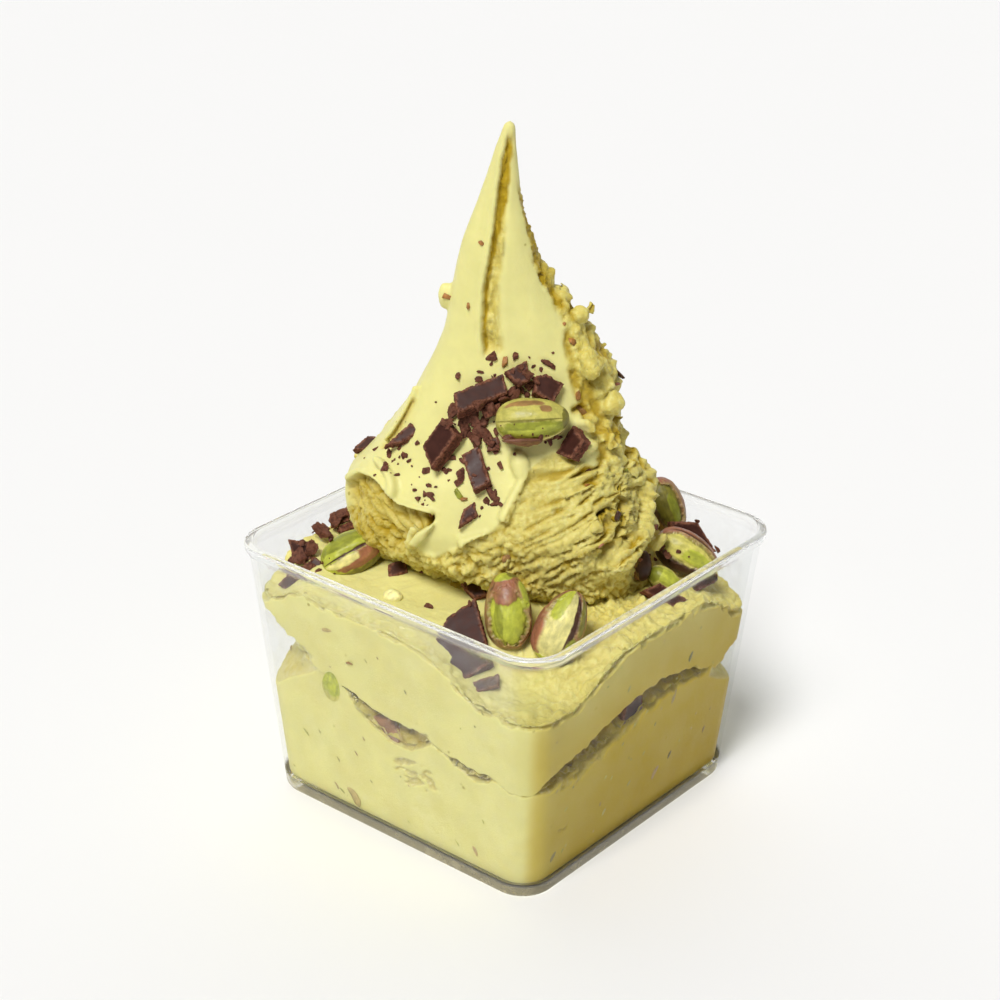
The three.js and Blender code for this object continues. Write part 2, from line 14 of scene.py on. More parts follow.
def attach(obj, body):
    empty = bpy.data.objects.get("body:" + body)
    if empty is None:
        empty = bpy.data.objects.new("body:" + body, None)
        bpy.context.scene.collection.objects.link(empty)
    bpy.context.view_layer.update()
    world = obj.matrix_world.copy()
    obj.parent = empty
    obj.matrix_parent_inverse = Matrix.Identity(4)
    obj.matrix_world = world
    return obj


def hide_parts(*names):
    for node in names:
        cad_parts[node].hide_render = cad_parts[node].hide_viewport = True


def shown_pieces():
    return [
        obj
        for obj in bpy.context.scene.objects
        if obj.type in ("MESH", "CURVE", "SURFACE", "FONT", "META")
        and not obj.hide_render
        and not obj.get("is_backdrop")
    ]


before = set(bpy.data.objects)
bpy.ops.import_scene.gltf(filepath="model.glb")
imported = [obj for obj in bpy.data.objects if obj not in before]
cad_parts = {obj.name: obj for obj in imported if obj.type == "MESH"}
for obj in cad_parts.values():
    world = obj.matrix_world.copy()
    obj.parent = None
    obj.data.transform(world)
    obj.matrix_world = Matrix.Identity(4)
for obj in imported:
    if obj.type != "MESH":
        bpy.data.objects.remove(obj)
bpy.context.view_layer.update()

bl_info = {
    "name": "Gelato Cup",
    "version": (1, 0, 0),
    "blender": (4, 5, 0),
    "location": "View3D > Sidebar > Gelato Cup",
    "description": "Builds a cup of pistachio gelato with chocolate and kernels",
    "category": "Add Mesh",
}

MM = 0.001

# The lobe's broad side faces the front corner. Its plan is set in two axes: "across" runs to the
# right seen from that corner, "toward" runs to the corner.
FACING = math.radians(39.2)

# The cup.
CUP_HEIGHT = 57.0
FOOT_HALF = 34.5
FOOT_RADIUS = 7.1
RIM_OVERHANG = 0.8
RIM_HALF = 40.0
RIM_RADIUS = 8.4
RIM_DEPTH = 2.2
RIM_WALL = 1.9
RIM_ROUND = 0.55
WALL = 1.2
FLOOR = 3.0
FOOT_ROUND = 1.2
FLOOR_FILLET = 1.6
INTO_WALL = 0.15  # the filling reaches this far into the plastic, so no air shows between them
PIECES_INTO_WALL = 0.22  # and the kernel and skin chip in it a little farther, so that they show

# The filling: height at the middle, fall per millimetre of +X, and dips round a place in x and y.
LAYER_TOP = 49.0
LAYER_SLOPE = 0.05
FILL_DIPS = ((38, -38, 6.6, 29, 16), (38, 38, 8, 22, 18), (-38, -38, 5.5, 17, 13))
SEAM_LOW = 24.5
SEAM_RISE = 9.5
SEAM_REACH = 46.0
SEAM_FALL = 12.0
CRACK_DEPTH = 6.0
PRESS = 0.9  # a layer's side is pushed this far out, and then pressed back on the glass
TOUCH = 0.02  # what stands in from the wall by less than this touches the glass
POROUS_PATCH = ((-29, 7), (18.5, 4.0))  # along the walls and in height: its middle and spread
EDGE_PASSES = 24  # passes that settle the layers' leaning edge
LAYER_COUNT = 620  # points round a layer
# Recesses at two corners: the corner (as square_points counts them), how much its radius grows,
# and the height and spread of the recess.
REAR_RECESSES = ((0, 12, 27.5, 4), (2, 17, 34.5, 6.5))
# Along the front walls from the front corner, minus to the left: the seam's height, how far it
# gapes, and how far the torn top of the lower layer reaches down the glass.
SEAM_AT_WALLS = ((-60, -48, -43, -35, -24.7, -21.6, -13.6, -9.5, -5.5, 0, 6.5, 16.5, 24.6, 30.6,
                  41.2, 52.8, 68),
                 (33.5, 32.3, 30.1, 28.8, 29.0, 27.3, 25.6, 26.6, 25.1, 24.8, 27.4, 29.5, 31.9,
                  33.0, 34.5, 31.5, 26))
CRACK_AT_WALLS = ((-50, -47, -43, -36, -30, -27, -25, -22.5, -20, -15, -11, -8.5, 1, 6, 12, 20, 28,
                   36, 44, 52, 58, 64),
                  (0, 0.8, 2.6, 4.3, 3.8, 1.4, 0, 0, 0.8, 1.5, 1.0, 0, 0, 1.4, 2.8, 3.8, 4.2, 4.0,
                   3.2, 1.6, 0.5, 0))
TORN_AT_WALLS = ((-50, -46, -40, -34, -28, -24, -20, -14, -8, -3, 3, 8, 15, 22, 29, 36, 44, 52,
                  60),
                 (0, 0.5, 1.2, 2.0, 3.0, 4.0, 0.6, 1.0, 2.0, 1.2, 1.6, 5.5, 8.5, 7.5, 6, 5, 3.5,
                  2, 0.4))

# The lobe and peak by height: height, reach left, right, forward and back, turn in degrees.
SWIRL_ROWS = np.array([
    (49, 27.0, 26.5, 13.6, 17.5, 15), (51.5, 28.6, 27.8, 15.6, 18.4, 15),
    (54, 29.8, 27.0, 17.0, 19.0, 15), (57, 31.6, 27.4, 18.3, 20.4, 14.5),
    (60.5, 33.0, 27.2, 18.6, 21.2, 14), (64, 33.4, 26.8, 18.8, 21.8, 13),
    (68, 33.0, 25.8, 17.6, 21.6, 12), (71, 31.0, 24.7, 16.2, 21.0, 10),
    (74, 27.6, 23.6, 14.6, 20.3, 8), (77, 24.8, 22.6, 12.9, 19.4, 6),
    (80, 22.8, 21.9, 11.2, 18.4, 4), (85, 19.6, 21.0, 8.8, 16.5, 2),
    (90, 17.1, 20.8, 7.0, 14.5, 0), (95, 14.7, 19.2, 5.7, 12.5, 0),
    (100, 13.0, 16.3, 4.8, 10.8, 0), (105, 12.1, 12.3, 4.2, 9.2, 0),
    (109, 11.7, 8.4, 3.8, 7.9, 0), (113, 11.0, 6.3, 3.4, 6.8, 0),
    (119, 9.6, 4.2, 2.8, 5.2, 0), (125, 7.5, 2.3, 2.2, 3.9, 0),
    (131, 5.5, 1.1, 1.7, 2.8, 0), (137, 3.7, 0.4, 1.2, 1.8, 0),
    (141, 2.3, 0.1, 0.9, 1.1, 0), (143, 2.0, 0.1, 0.9, 1.1, 0)])
SWIRL_TOP = 142.6
SWIRL_SQUARENESS = 2.3
SWIRL_TIP_ROUND = 1.6


# ---- Settings -----------------------------------------------------------------------------

def colour_setting(name, description, default):
    return FloatVectorProperty(name=name, description=description, default=default,
                               subtype="COLOR", size=3, min=0, max=1)


def setting(name, description, default, **limits):
    return FloatProperty(name=name, description=description, default=default, **limits)


def length_setting(name, description, default, **limits):
    return setting(name, description, default, unit="LENGTH", precision=5, **limits)


def angle_setting(name, description, degrees):
    return setting(name, description, math.radians(degrees), subtype="ANGLE")


class CupSettings(PropertyGroup):
    tint: colour_setting("Plastic", "Tint of the clear plastic", (0.975, 0.985, 0.985))
    haze: setting("Haze", "Share of light that the plastic scatters", 0.02, min=0, max=1)
    gloss: setting("Roughness", "Roughness of the plastic", 0.02, min=0, max=1)


class GelatoSettings(PropertyGroup):
    cream: colour_setting("Cream", "Gelato where it is smooth", (0.79, 0.745, 0.30))
    torn: colour_setting("Torn", "Gelato where it is torn and icy", (0.70, 0.575, 0.115))
    # Painted shade: the colour that the gelato is mixed towards in its hollows, tears, creases and
    # gaps.
    deep: colour_setting("Hollows", "Gelato deep in a tear", (0.44, 0.30, 0.016))
    # Painted shade: on the right-hand wall the gelato is mixed towards this darker mustard.
    pressed: colour_setting("Pressed", "Gelato pressed dense on the right-hand wall",
                            (0.62, 0.465, 0.062))
    voxel: length_setting("Fineness", "Mesh size of the lobe", 0.00042, min=0.0002, max=0.002)


class ChocolateSettings(PropertyGroup):
    face: colour_setting("Face", "Smooth face of the bar", (0.040, 0.0105, 0.0058))
    broken: colour_setting("Break", "Broken, crumbly side", (0.145, 0.046, 0.025))
    voxel: length_setting("Fineness", "Mesh size of a piece", 0.00018, min=0.0001, max=0.001)


class KernelSettings(PropertyGroup):
    lime: colour_setting("Lime", "Bright cut face", (0.47, 0.50, 0.055))
    green: colour_setting("Green", "Deeper green", (0.29, 0.31, 0.028))
    cream: colour_setting("Pale", "Pale cream green", (0.72, 0.66, 0.26))
    skin: colour_setting("Skin", "Pink-brown skin", (0.34, 0.135, 0.07))
    husk: colour_setting("Husk", "Tan outer skin", (0.36, 0.20, 0.07))
    dark: colour_setting("Dark", "Dark purple-brown skin", (0.07, 0.028, 0.014))
    amber: colour_setting("Amber", "Skin of the small nut bits", (0.38, 0.17, 0.045))


class StageSettings(PropertyGroup):
    lens: setting("Lens", "Focal length in millimetres on a 36 mm sensor", 82.66, min=10)
    distance: length_setting("Distance", "Camera to the cup's axis", 0.46108)
    azimuth: angle_setting("Azimuth", "Camera's direction round the cup", 39.236)
    elevation: angle_setting("Elevation", "Camera's height angle", 25.579)
    roll: angle_setting("Roll", "Camera's roll", 0.917)
    aside: length_setting("Aim aside", "Aim to the right of the axis", -0.00168)
    aim: length_setting("Aim height", "Height that the camera aims at", 0.06424)
    key: setting("Key", "Strength of the main light", 3.05, min=0)
    key_azimuth: angle_setting("Key azimuth", "Main light's direction", 13)
    key_elevation: angle_setting("Key elevation", "Main light's height angle", 54)
    key_softness: angle_setting("Softness", "Angle that the main light fills", 20)
    fill: setting("Fill", "Strength of the light from all round", 0.14, min=0)
    backdrop: setting("Backdrop", "Strength of the light behind the cup", 0.9, min=0)
    floor: colour_setting("Floor", "Colour of the floor", (0.88, 0.88, 0.88))


SETTINGS = {
    "gelato_cup_cup": CupSettings,
    "gelato_cup_gelato": GelatoSettings,
    "gelato_cup_chocolate": ChocolateSettings,
    "gelato_cup_kernels": KernelSettings,
    "gelato_cup_stage": StageSettings,
}


# ---- Numbers ------------------------------------------------------------------------------

def step(x, low=0.0, high=1.0):
    """0 below low, 1 above high, and an S-curve between."""
    t = np.clip((np.asarray(x, float) - low) / (high - low), 0, 1)
    return t * t * (3 - 2 * t)


def bump(x, middle, spread):
    """A bell: 1 at the middle, falling as the square of the distance in spreads."""
    return np.exp(-((np.asarray(x, float) - middle) / spread) ** 2)


def noise(points, size, seed=0):
    """Gradient noise, about -1 to 1: every lattice corner has a direction picked by a hash of
    its place and the seed, and the eight products blend by a quintic curve. size is the lattice
    spacing, one number or one per axis."""
    p = np.asarray(points, float) / size + 31.7 * seed + 1000.0
    cell = np.floor(p).astype(np.int64)
    f = p - cell
    fade = f ** 3 * (f * (6 * f - 15) + 10)
    total = np.zeros(p.shape[:-1])
    for corner in np.ndindex(2, 2, 2):
        c = np.array(corner)
        h = ((cell + c) @ np.array([73856093, 19349663, 83492791]) + 7919 * seed) & 0x7FFFFFFF
        h = ((h ^ (h >> 13)) * 1274126177) & 0x7FFFFFFF
        h = ((h ^ (h >> 11)) * 668265263) & 0x7FFFFFFF
        h ^= h >> 15
        g = np.stack([h & 255, (h >> 8) & 255, (h >> 16) & 255], -1) / 127.5 - 1
        weight = np.where(c, fade, 1 - fade).prod(-1)
        total += weight * ((f - c) * g).sum(-1)
    return 1.7 * total


def layered(points, size, seed=0, octaves=3, keep=0.5):
    """Noise summed over octaves, each half the size of the last and keep times as strong."""
    total, strength = 0.0, 1.0
    for k in range(octaves):
        total = total + strength * noise(points, np.asarray(size) / 2.0 ** k, seed + 13 * k)
        strength *= keep
    return total


def lumps(points, size, seed=0, octaves=2):
    """Round lumps with sharp creases between them: the absolute value of noise, centred on 0."""
    total, strength = 0.0, 1.0
    for k in range(octaves):
        total = total + strength * (
            2.2 * np.abs(noise(points, np.asarray(size) / 2.0 ** k, seed + 29 * k)) - 0.6)
        strength *= 0.5
    return total


def plan_xy(across, toward):
    """x and y from across and toward. It is a turn and a mirror, so it is its own inverse and
    also gives across and toward from x and y."""
    c, s = math.cos(FACING), math.sin(FACING)
    return c * across + s * toward, s * across - c * toward


class Picture:
    """The photograph's camera in millimetres: where points fall, and rays through places.
    The picture is taken as 1000 by 1000."""

    def __init__(self, stage):
        a, e, r = stage.azimuth, stage.elevation, stage.roll
        self.back = np.array([math.sin(a) * math.cos(e), -math.cos(a) * math.cos(e), math.sin(e)])
        level = np.array([math.cos(a), math.sin(a), 0.0])
        up = np.cross(self.back, level)
        self.right = level * math.cos(r) + up * math.sin(r)
        self.up = up * math.cos(r) - level * math.sin(r)
        self.focal = 1000 * stage.lens / 36
        self.eye = (level * stage.aside + np.array([0, 0, stage.aim])
                    + self.back * stage.distance) / MM

    def place(self, points):
        q = np.asarray(points, float) - self.eye
        depth = -(q @ self.back)
        return 500 + self.focal * (q @ self.right) / depth, \
            500 - self.focal * (q @ self.up) / depth

    def ray(self, px, py):
        d = self.right * (px - 500) - self.up * (py - 500) - self.back * self.focal
        return d / np.linalg.norm(d)


class Ground:
    """Surfaces that small things are laid on, found along the camera's ray through a place in
    the picture. Past an outline, the nearest surface point gives the depth."""

    def __init__(self, picture, shells):
        self.picture = picture
        self.points, faces = join(shells)
        self.tree = BVHTree.FromPolygons(self.points.tolist(), faces)

    def at(self, px, py):
        """Point and outward normal of the first surface under a place in the picture."""
        d = self.picture.ray(px, py)
        hit, normal, _, _ = self.tree.ray_cast(Vector(self.picture.eye), Vector(d))
        if hit is not None:
            n = np.array(normal)
            return np.array(hit), n if n @ d < 0 else -n
        q = self.points - self.picture.eye
        along = q @ d
        near = np.argmin(np.linalg.norm(q - along[:, None] * d, axis=1))
        at = self.picture.eye + d * along[near]
        out = at - self.points[near]
        size = np.linalg.norm(out)
        return at, out / size if size > 1e-6 else -d

    def path(self, places, lift=0.0):
        found = [self.at(px, py) for px, py in places]
        points = np.array([p + n * lift for p, n in found])
        return points, np.array([n for _, n in found])


def beside(px, py, line):
    """How far places lie from a drawn line, in pixels, positive below a line that is drawn from
    left to right, and how far along it their nearest point is, 0 to 1."""
    line = np.asarray(line, float)
    legs = np.linalg.norm(np.diff(line, axis=0), axis=1)
    starts = np.concatenate([[0], np.cumsum(legs)])
    best = np.full(np.shape(px), 1e9)
    side, along = np.zeros(np.shape(px)), np.zeros(np.shape(px))
    for k in range(len(line) - 1):
        (ax, ay), (bx, by) = line[k], line[k + 1]
        dx, dy = bx - ax, by - ay
        t = np.clip(((px - ax) * dx + (py - ay) * dy) / (dx * dx + dy * dy), 0, 1)
        away = np.hypot(px - ax - t * dx, py - ay - t * dy)
        closer = away < best - 1e-9
        best = np.where(closer, away, best)
        sign = np.sign(dx * (py - ay) - dy * (px - ax))
        side = np.where(closer, sign, side)
        along = np.where(closer, (starts[k] + t * legs[k]) / starts[-1], along)
    return best * side, along


# ---- Meshes -------------------------------------------------------------------------------

def flat(grid):
    """A grid's values in one list, as its shell has its points: all of a ring, but one value for
    the first ring and one for the last."""
    return np.concatenate([grid[:1, 0], grid[1:-1].reshape(-1, *grid.shape[2:]), grid[-1:, 0]])


def shell(grid):
    """Points and faces of a closed shell from rings of points: the first and the last ring are
    each one point."""
    rows, cols = grid.shape[:2]
    k = np.arange(cols)
    nxt = (k + 1) % cols
    ring = 1 + cols * np.arange(rows - 2)[:, None]
    a, b = (ring[:-1] + k).ravel(), (ring[:-1] + nxt).ravel()
    c, d = (ring[1:] + nxt).ravel(), (ring[1:] + k).ravel()
    quads = np.stack([a, b, c, d], -1).tolist()
    last = cols * (rows - 2) + 1
    first = np.stack([0 * k, 1 + nxt, 1 + k], -1).tolist()
    final = np.stack([0 * k + last, last - cols + k, last - cols + nxt], -1).tolist()
    return flat(grid), first + quads + final


def join(parts):
    """Several closed shells as one list of points and faces."""
    points, faces, start = [], [], 0
    for co, polys in parts:
        points.append(co)
        faces += [[start + i for i in p] for p in polys]
        start += len(co)
    return np.vstack(points), faces


def tube(path, normals, wide, high, around=14, ends=4):
    """A closed swept body: an ellipse, wide by high with its height along the normals, carried
    along a path, its ends rounded off by a quarter circle."""
    path, normals = np.asarray(path, float), np.asarray(normals, float)
    count = len(path)
    t = np.linspace(0, count - 1, 6 * (count - 1) + 1)
    spread = [np.interp(t, range(count), path[:, i]) for i in range(3)]
    line = np.stack([np.convolve(np.pad(s, 3, mode="edge"), np.ones(7) / 7, "valid")
                     for s in spread], -1)
    up = np.stack([np.interp(t, range(count), normals[:, i]) for i in range(3)], -1)
    wide = np.interp(t, np.linspace(0, count - 1, len(np.atleast_1d(wide))), np.atleast_1d(wide))
    high = np.interp(t, np.linspace(0, count - 1, len(np.atleast_1d(high))), np.atleast_1d(high))
    ahead = np.gradient(line, axis=0)
    ahead /= np.linalg.norm(ahead, axis=1)[:, None]
    side = np.cross(ahead, up)
    side /= np.linalg.norm(side, axis=1)[:, None]
    up = np.cross(side, ahead)
    turn = np.linspace(0, 2 * math.pi, around, endpoint=False)
    cap = np.linspace(0, math.pi / 2, ends + 1)[:-1]
    back, round_off = np.cos(cap)[:, None], np.sin(cap)
    centre = np.vstack([line[0] - ahead[0] * wide[0] * back, line,
                        (line[-1] + ahead[-1] * wide[-1] * back)[::-1]])
    scale = np.concatenate([round_off, np.ones(len(line)), round_off[::-1]])
    pick = np.clip(np.arange(-ends, len(line) + ends), 0, len(line) - 1)
    out = (np.cos(turn)[None, :, None] * (side * wide[:, None])[pick][:, None]
           + np.sin(turn)[None, :, None] * (up * high[:, None])[pick][:, None])
    return shell(centre[:, None] + scale[:, None, None] * out)


def blob(at, size, seed, squash=(1, 1, 1), rough=0.25, around=12, along=8):
    """A lump: a sphere whose radius varies with noise over its directions."""
    u = np.linspace(0, 2 * math.pi, around, endpoint=False)[None]
    v = np.linspace(0, math.pi, along + 1)[:, None]
    d = np.stack([np.sin(v) * np.cos(u), np.sin(v) * np.sin(u), -np.cos(v) + 0 * u], -1)
    r = size * (1 + rough * noise(d, 0.8, seed) + 0.5 * rough * noise(d, 0.35, seed + 5))
    return shell(np.asarray(at) + d * r[..., None] * np.asarray(squash))


def read(items, key):
    values = np.zeros(3 * len(items), np.float32)
    items.foreach_get(key, values)
    return values.reshape(-1, 3).astype(float)


def read_points(mesh):
    return read(mesh.vertices, "co") / MM


def read_normals(mesh):
    return read(mesh.vertex_normals, "vector")


def write_points(mesh, points):
    mesh.vertices.foreach_set("co", (points * MM).astype(np.float32).ravel())
    mesh.update()


def new_object(name, points, faces):
    mesh = bpy.data.meshes.new(name)
    mesh.from_pydata((np.asarray(points) * MM).tolist(), [], faces)
    mesh.update()
    obj = bpy.data.objects.new(name, mesh)
    bpy.context.scene.collection.objects.link(obj)
    return obj


def evaluated(obj, name):
    """The object's mesh with its modifiers applied, as a new mesh, and the object's own put
    away."""
    bpy.context.view_layer.update()
    made = bpy.data.meshes.new_from_object(obj.evaluated_get(
        bpy.context.evaluated_depsgraph_get()))
    old = obj.data
    obj.modifiers.clear()
    obj.data = made
    made.name = name
    bpy.data.meshes.remove(old)
    return obj


def fuse(obj, voxel, smooth):
    """Remeshes an object's overlapping shells into one skin, and smooths it some times."""
    remesh = obj.modifiers.new("skin", "REMESH")
    remesh.mode = "VOXEL"
    remesh.voxel_size = voxel
    soften = obj.modifiers.new("ease", "SMOOTH")
    soften.iterations = smooth
    soften.factor = 0.5
    return evaluated(obj, obj.name)


def set_values(mesh, **named):
    """Writes named values to a mesh, one number or one colour per point."""
    for name, values in named.items():
        values = np.asarray(values, np.float32)
        if values.ndim == 1:
            mesh.attributes.new(name, "FLOAT", "POINT").data.foreach_set("value", values)
        else:
            values = np.hstack([values, np.ones((len(values), 1), np.float32)])
            mesh.attributes.new(name, "FLOAT_COLOR", "POINT").data.foreach_set(
                "color", values.ravel())


def finish_piece(obj, look, nodes=(), smooth=True):
    """Shades a piece, gives it its material and puts it on the cup's body."""
    obj.data.polygons.foreach_set("use_smooth", np.full(len(obj.data.polygons), smooth))
    obj.data.materials.clear()
    obj.data.materials.append(material(look))
    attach(obj, "root")
    if nodes:
        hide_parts(*nodes)
    return obj


# ---- Materials ----------------------------------------------------------------------------

class Nodes:
    """A material's or a world's node tree, with short calls for the nodes that it uses."""

    def __init__(self, owner, kind="Material", where="Object"):
        owner.use_nodes = True
        self.owner, self.tree = owner, owner.node_tree
        self.tree.nodes.clear()
        self.out = self.add("ShaderNodeOutput" + kind)
        self.where = self.add("ShaderNodeTexCoord").outputs[where]

    def add(self, kind, inputs=(), **settings):
        node = self.tree.nodes.new(kind)
        for key, value in settings.items():
            setattr(node, key, value)
        for key, value in dict(inputs).items():
            if isinstance(value, bpy.types.NodeSocket):
                self.tree.links.new(value, node.inputs[key])
            else:
                node.inputs[key].default_value = value
        return node

    def noise(self, scale, detail=3, rough=0.55, vector=None, warp=0.0):
        return self.add("ShaderNodeTexNoise", {
            "Vector": vector or self.where, "Scale": scale, "Detail": detail,
            "Roughness": rough, "Distortion": warp}).outputs["Fac"]

    def ramp(self, value, low, high):
        return self.add("ShaderNodeMapRange", {
            "Value": value, "From Min": low, "From Max": high},
            interpolation_type="SMOOTHSTEP").outputs["Result"]

    def band(self, value, ends):
        """A ramp between two places in millimetres."""
        return self.ramp(value, ends[0] * MM, ends[1] * MM)

    def dots(self, scale, outside, inside):
        """Round dots in Voronoi cells, from their outside to their inside radius."""
        cells = self.add("ShaderNodeTexVoronoi", {"Vector": self.where, "Scale": scale,
                                                  "Randomness": 1.0})
        return self.ramp(cells.outputs["Distance"], outside, inside)

    def maths(self, kind, a, b):
        return self.add("ShaderNodeMath", {0: a, 1: b}, operation=kind).outputs[0]

    def times(self, a, b):
        return self.maths("MULTIPLY", a, b)

    def plus(self, a, b):
        return self.maths("ADD", a, b)

    def mix(self, share, a, b, kind="MIX"):
        node = self.add("ShaderNodeMix", data_type="RGBA", blend_type=kind)
        for index, value in ((0, share), (6, a), (7, b)):
            if isinstance(value, bpy.types.NodeSocket):
                self.tree.links.new(value, node.inputs[index])
            else:
                node.inputs[index].default_value = value
        return node.outputs[2]

    def attribute(self, name, output="Fac"):
        return self.add("ShaderNodeAttribute", attribute_name=name).outputs[output]

    def bump(self, height, distance, strength=1.0, normal=None):
        inputs = {"Height": height, "Distance": distance, "Strength": strength}
        if normal:
            inputs["Normal"] = normal
        return self.add("ShaderNodeBump", inputs).outputs["Normal"]

    def blend(self, share, first, second):
        """A shader mixed from two."""
        return self.add("ShaderNodeMixShader", {
            0: share, 1: first.outputs[0], 2: second.outputs[0]})

    def surface(self, shader):
        self.tree.links.new(shader.outputs[0], self.out.inputs["Surface"])
        return self.owner


def rgba(colour, share=1.0):
    return (*[share * c for c in colour], 1.0)


# Where the plastic's look changes, in millimetres: from the wall to the thick foot, from the wall
# to the rim, into and out of the height that the filling lies against, and round the front corner
# to the right-hand wall.
FOOT_BAND = (3.4, 2.4)
RIM_BAND = (54.4, 55.2)
FILLED_FROM = (2.6, 4.5)
FILLED_TO = (55.8, 53.5)
RIGHT_WALL_X = (31.5, 34.0)


def plastic_material(settings):
    """Clear plastic with a little haze. Where the filling lies on the wall there is no air behind
    it, so most light goes straight through; the rim and the thick foot scatter more. The foot's
    haze is tinted like the gelato, a painted reflection of it, and the left walls carry more haze
    than the right-hand one, partly a painted veil of reflection. Shadow rays pass it, so the light
    reaches the food."""
    n = Nodes(bpy.data.materials.new("cup_plastic"))
    clear = n.add("ShaderNodeBsdfPrincipled", {
        "Base Color": rgba(settings.tint), "Roughness": settings.gloss, "IOR": 1.5,
        "Transmission Weight": 1.0, "Specular IOR Level": 0.25,
        "Normal": n.bump(n.noise(55, 2), 0.00005)})
    cover = n.times(n.ramp(n.noise(380, 4, 0.6), 0.25, 0.8), n.ramp(n.noise(75, 4, 0.6), 0.15, 0.8))
    place = n.add("ShaderNodeSeparateXYZ", {0: n.where})
    height = place.outputs["Z"]
    foot = n.band(height, FOOT_BAND)
    # The foot's haze is tinted yellow-olive: a painted reflection of the gelato in it.
    haze = n.add("ShaderNodeBsdfDiffuse", {
        "Color": n.mix(foot, (0.93, 0.93, 0.92, 1), (0.80, 0.72, 0.48, 1))})
    # More haze on the left walls than on the right-hand one: partly haze, partly a painted veil of
    # reflection.
    right = n.band(place.outputs["X"], RIGHT_WALL_X)
    left = n.maths("SUBTRACT", 1.25, right)
    share = n.times(n.plus(n.times(cover, 0.6), 0.7), n.times(left, settings.haze))
    share = n.plus(share, n.times(n.band(height, RIM_BAND), 0.09))
    share = n.plus(share, n.times(foot, n.plus(n.times(cover, 0.25), 0.22)))
    hazy = n.blend(share, clear, haze)
    filled = n.times(n.band(height, FILLED_FROM), n.band(height, FILLED_TO))
    straight = n.times(filled, n.plus(n.times(right, 0.02), 0.95))
    through = n.add("ShaderNodeBsdfTransparent", {"Color": (0.975, 0.98, 0.98, 1)})
    # Patchy haze where the wall is seen through: partly dust, partly a painted veil of reflection on
    # the left walls.
    dust_and_veil = n.blend(n.times(left, n.plus(n.times(cover, 0.08), 0.018)), through, haze)
    wall = n.blend(straight, hazy, dust_and_veil)
    open_way = n.add("ShaderNodeBsdfTransparent", {"Color": (0.87, 0.88, 0.88, 1)})
    shadow = n.add("ShaderNodeLightPath").outputs["Is Shadow Ray"]
    return n.surface(n.blend(shadow, wall, open_way))


def gelato_material(settings):
    """Dense frozen cream: smooth where it was spread, icy and torn where the piece's "torn"
    value says, with mustard painted shade in its hollows, tears, creases and gaps and on the
    right-hand wall, and with pinpoint flecks of ground nut."""
    n = Nodes(bpy.data.materials.new("pistachio_gelato"))
    torn, hollow, pressed = (n.attribute(name) for name in ("torn", "hollow", "pressed"))
    mottle = n.noise(140, 3, 0.6)
    body = n.mix(n.ramp(mottle, 0.3, 0.7), rgba(settings.cream), rgba(settings.cream, 0.93))
    icy = n.mix(n.ramp(n.noise(900, 3, 0.6), 0.42, 0.82), rgba(settings.torn, 0.95),
                rgba(settings.cream, 1.02))
    colour = n.mix(n.times(torn, 0.85), body, icy)
    # Painted shade on the right-hand wall, darker low down and to the rear.
    colour = n.mix(pressed, colour, rgba(settings.pressed))
    # Painted shade in hollows, tears, creases and gaps, and on the glass of the right-hand wall.
    colour = n.mix(hollow, colour, rgba(settings.deep))
    fleck = n.times(n.dots(330.0, 0.17, 0.09), n.ramp(n.noise(170, 2), 0.60, 0.68))
    colour = n.mix(n.times(fleck, 0.75), colour, (0.34, 0.27, 0.035, 1))
    soft = n.bump(n.noise(260, 3, 0.5), 0.00012, 0.5)
    crumbly = n.bump(n.noise(620, 4, 0.6, warp=0.6), 0.0005, torn, soft)
    return n.surface(n.add("ShaderNodeBsdfPrincipled", {
        "Base Color": colour, "Roughness": n.ramp(mottle, -0.6, 1.9), "IOR": 1.36,
        "Specular IOR Level": 0.3, "Subsurface Weight": 0.22,
        "Subsurface Radius": (1.0, 0.75, 0.22), "Subsurface Scale": 0.0016,
        "Normal": n.bump(n.noise(1500, 4, 0.65), 0.00012, 0.55, crumbly)}))


def chocolate_material(settings):
    """Dark chocolate: satin on its moulded faces, dull and crumbly where the piece's "broken"
    value says, with pale specks of dust, and pale edges that are partly wear and partly a painted
    highlight."""
    n = Nodes(bpy.data.materials.new("dark_chocolate"))
    broken = n.attribute("broken")
    crumbs = n.noise(1700, 4, 0.7)
    side = n.mix(n.ramp(crumbs, 0.35, 0.75), rgba(settings.broken, 0.45),
                 rgba(settings.broken, 1.7))
    bloom = n.noise(420, 4, 0.65)
    face = n.mix(n.ramp(bloom, 0.35, 0.8), rgba(settings.face), rgba(settings.face, 1.6))
    grains = n.times(n.dots(900.0, 0.16, 0.06), n.ramp(n.noise(330, 2), 0.52, 0.62))
    colour = n.mix(broken, face, side)
    colour = n.mix(n.times(grains, 0.55), colour, (0.26, 0.13, 0.085, 1))
    # Pale edges: partly wear, partly a painted highlight along them.
    wear_and_highlight = n.times(n.attribute("edge"), n.ramp(n.noise(1300, 3, 0.6), 0.33, 0.6))
    colour = n.mix(n.times(wear_and_highlight, 0.85), colour, (0.30, 0.125, 0.07, 1))
    pitted = n.bump(crumbs, 0.0003, broken, n.bump(bloom, 0.00006, 0.6))
    return n.surface(n.add("ShaderNodeBsdfPrincipled", {
        "Base Color": colour, "IOR": 1.45, "Specular IOR Level": 0.3, "Normal": pitted,
        "Roughness": n.plus(n.times(broken, 0.3), n.ramp(bloom, -1.2, 2.2))}))


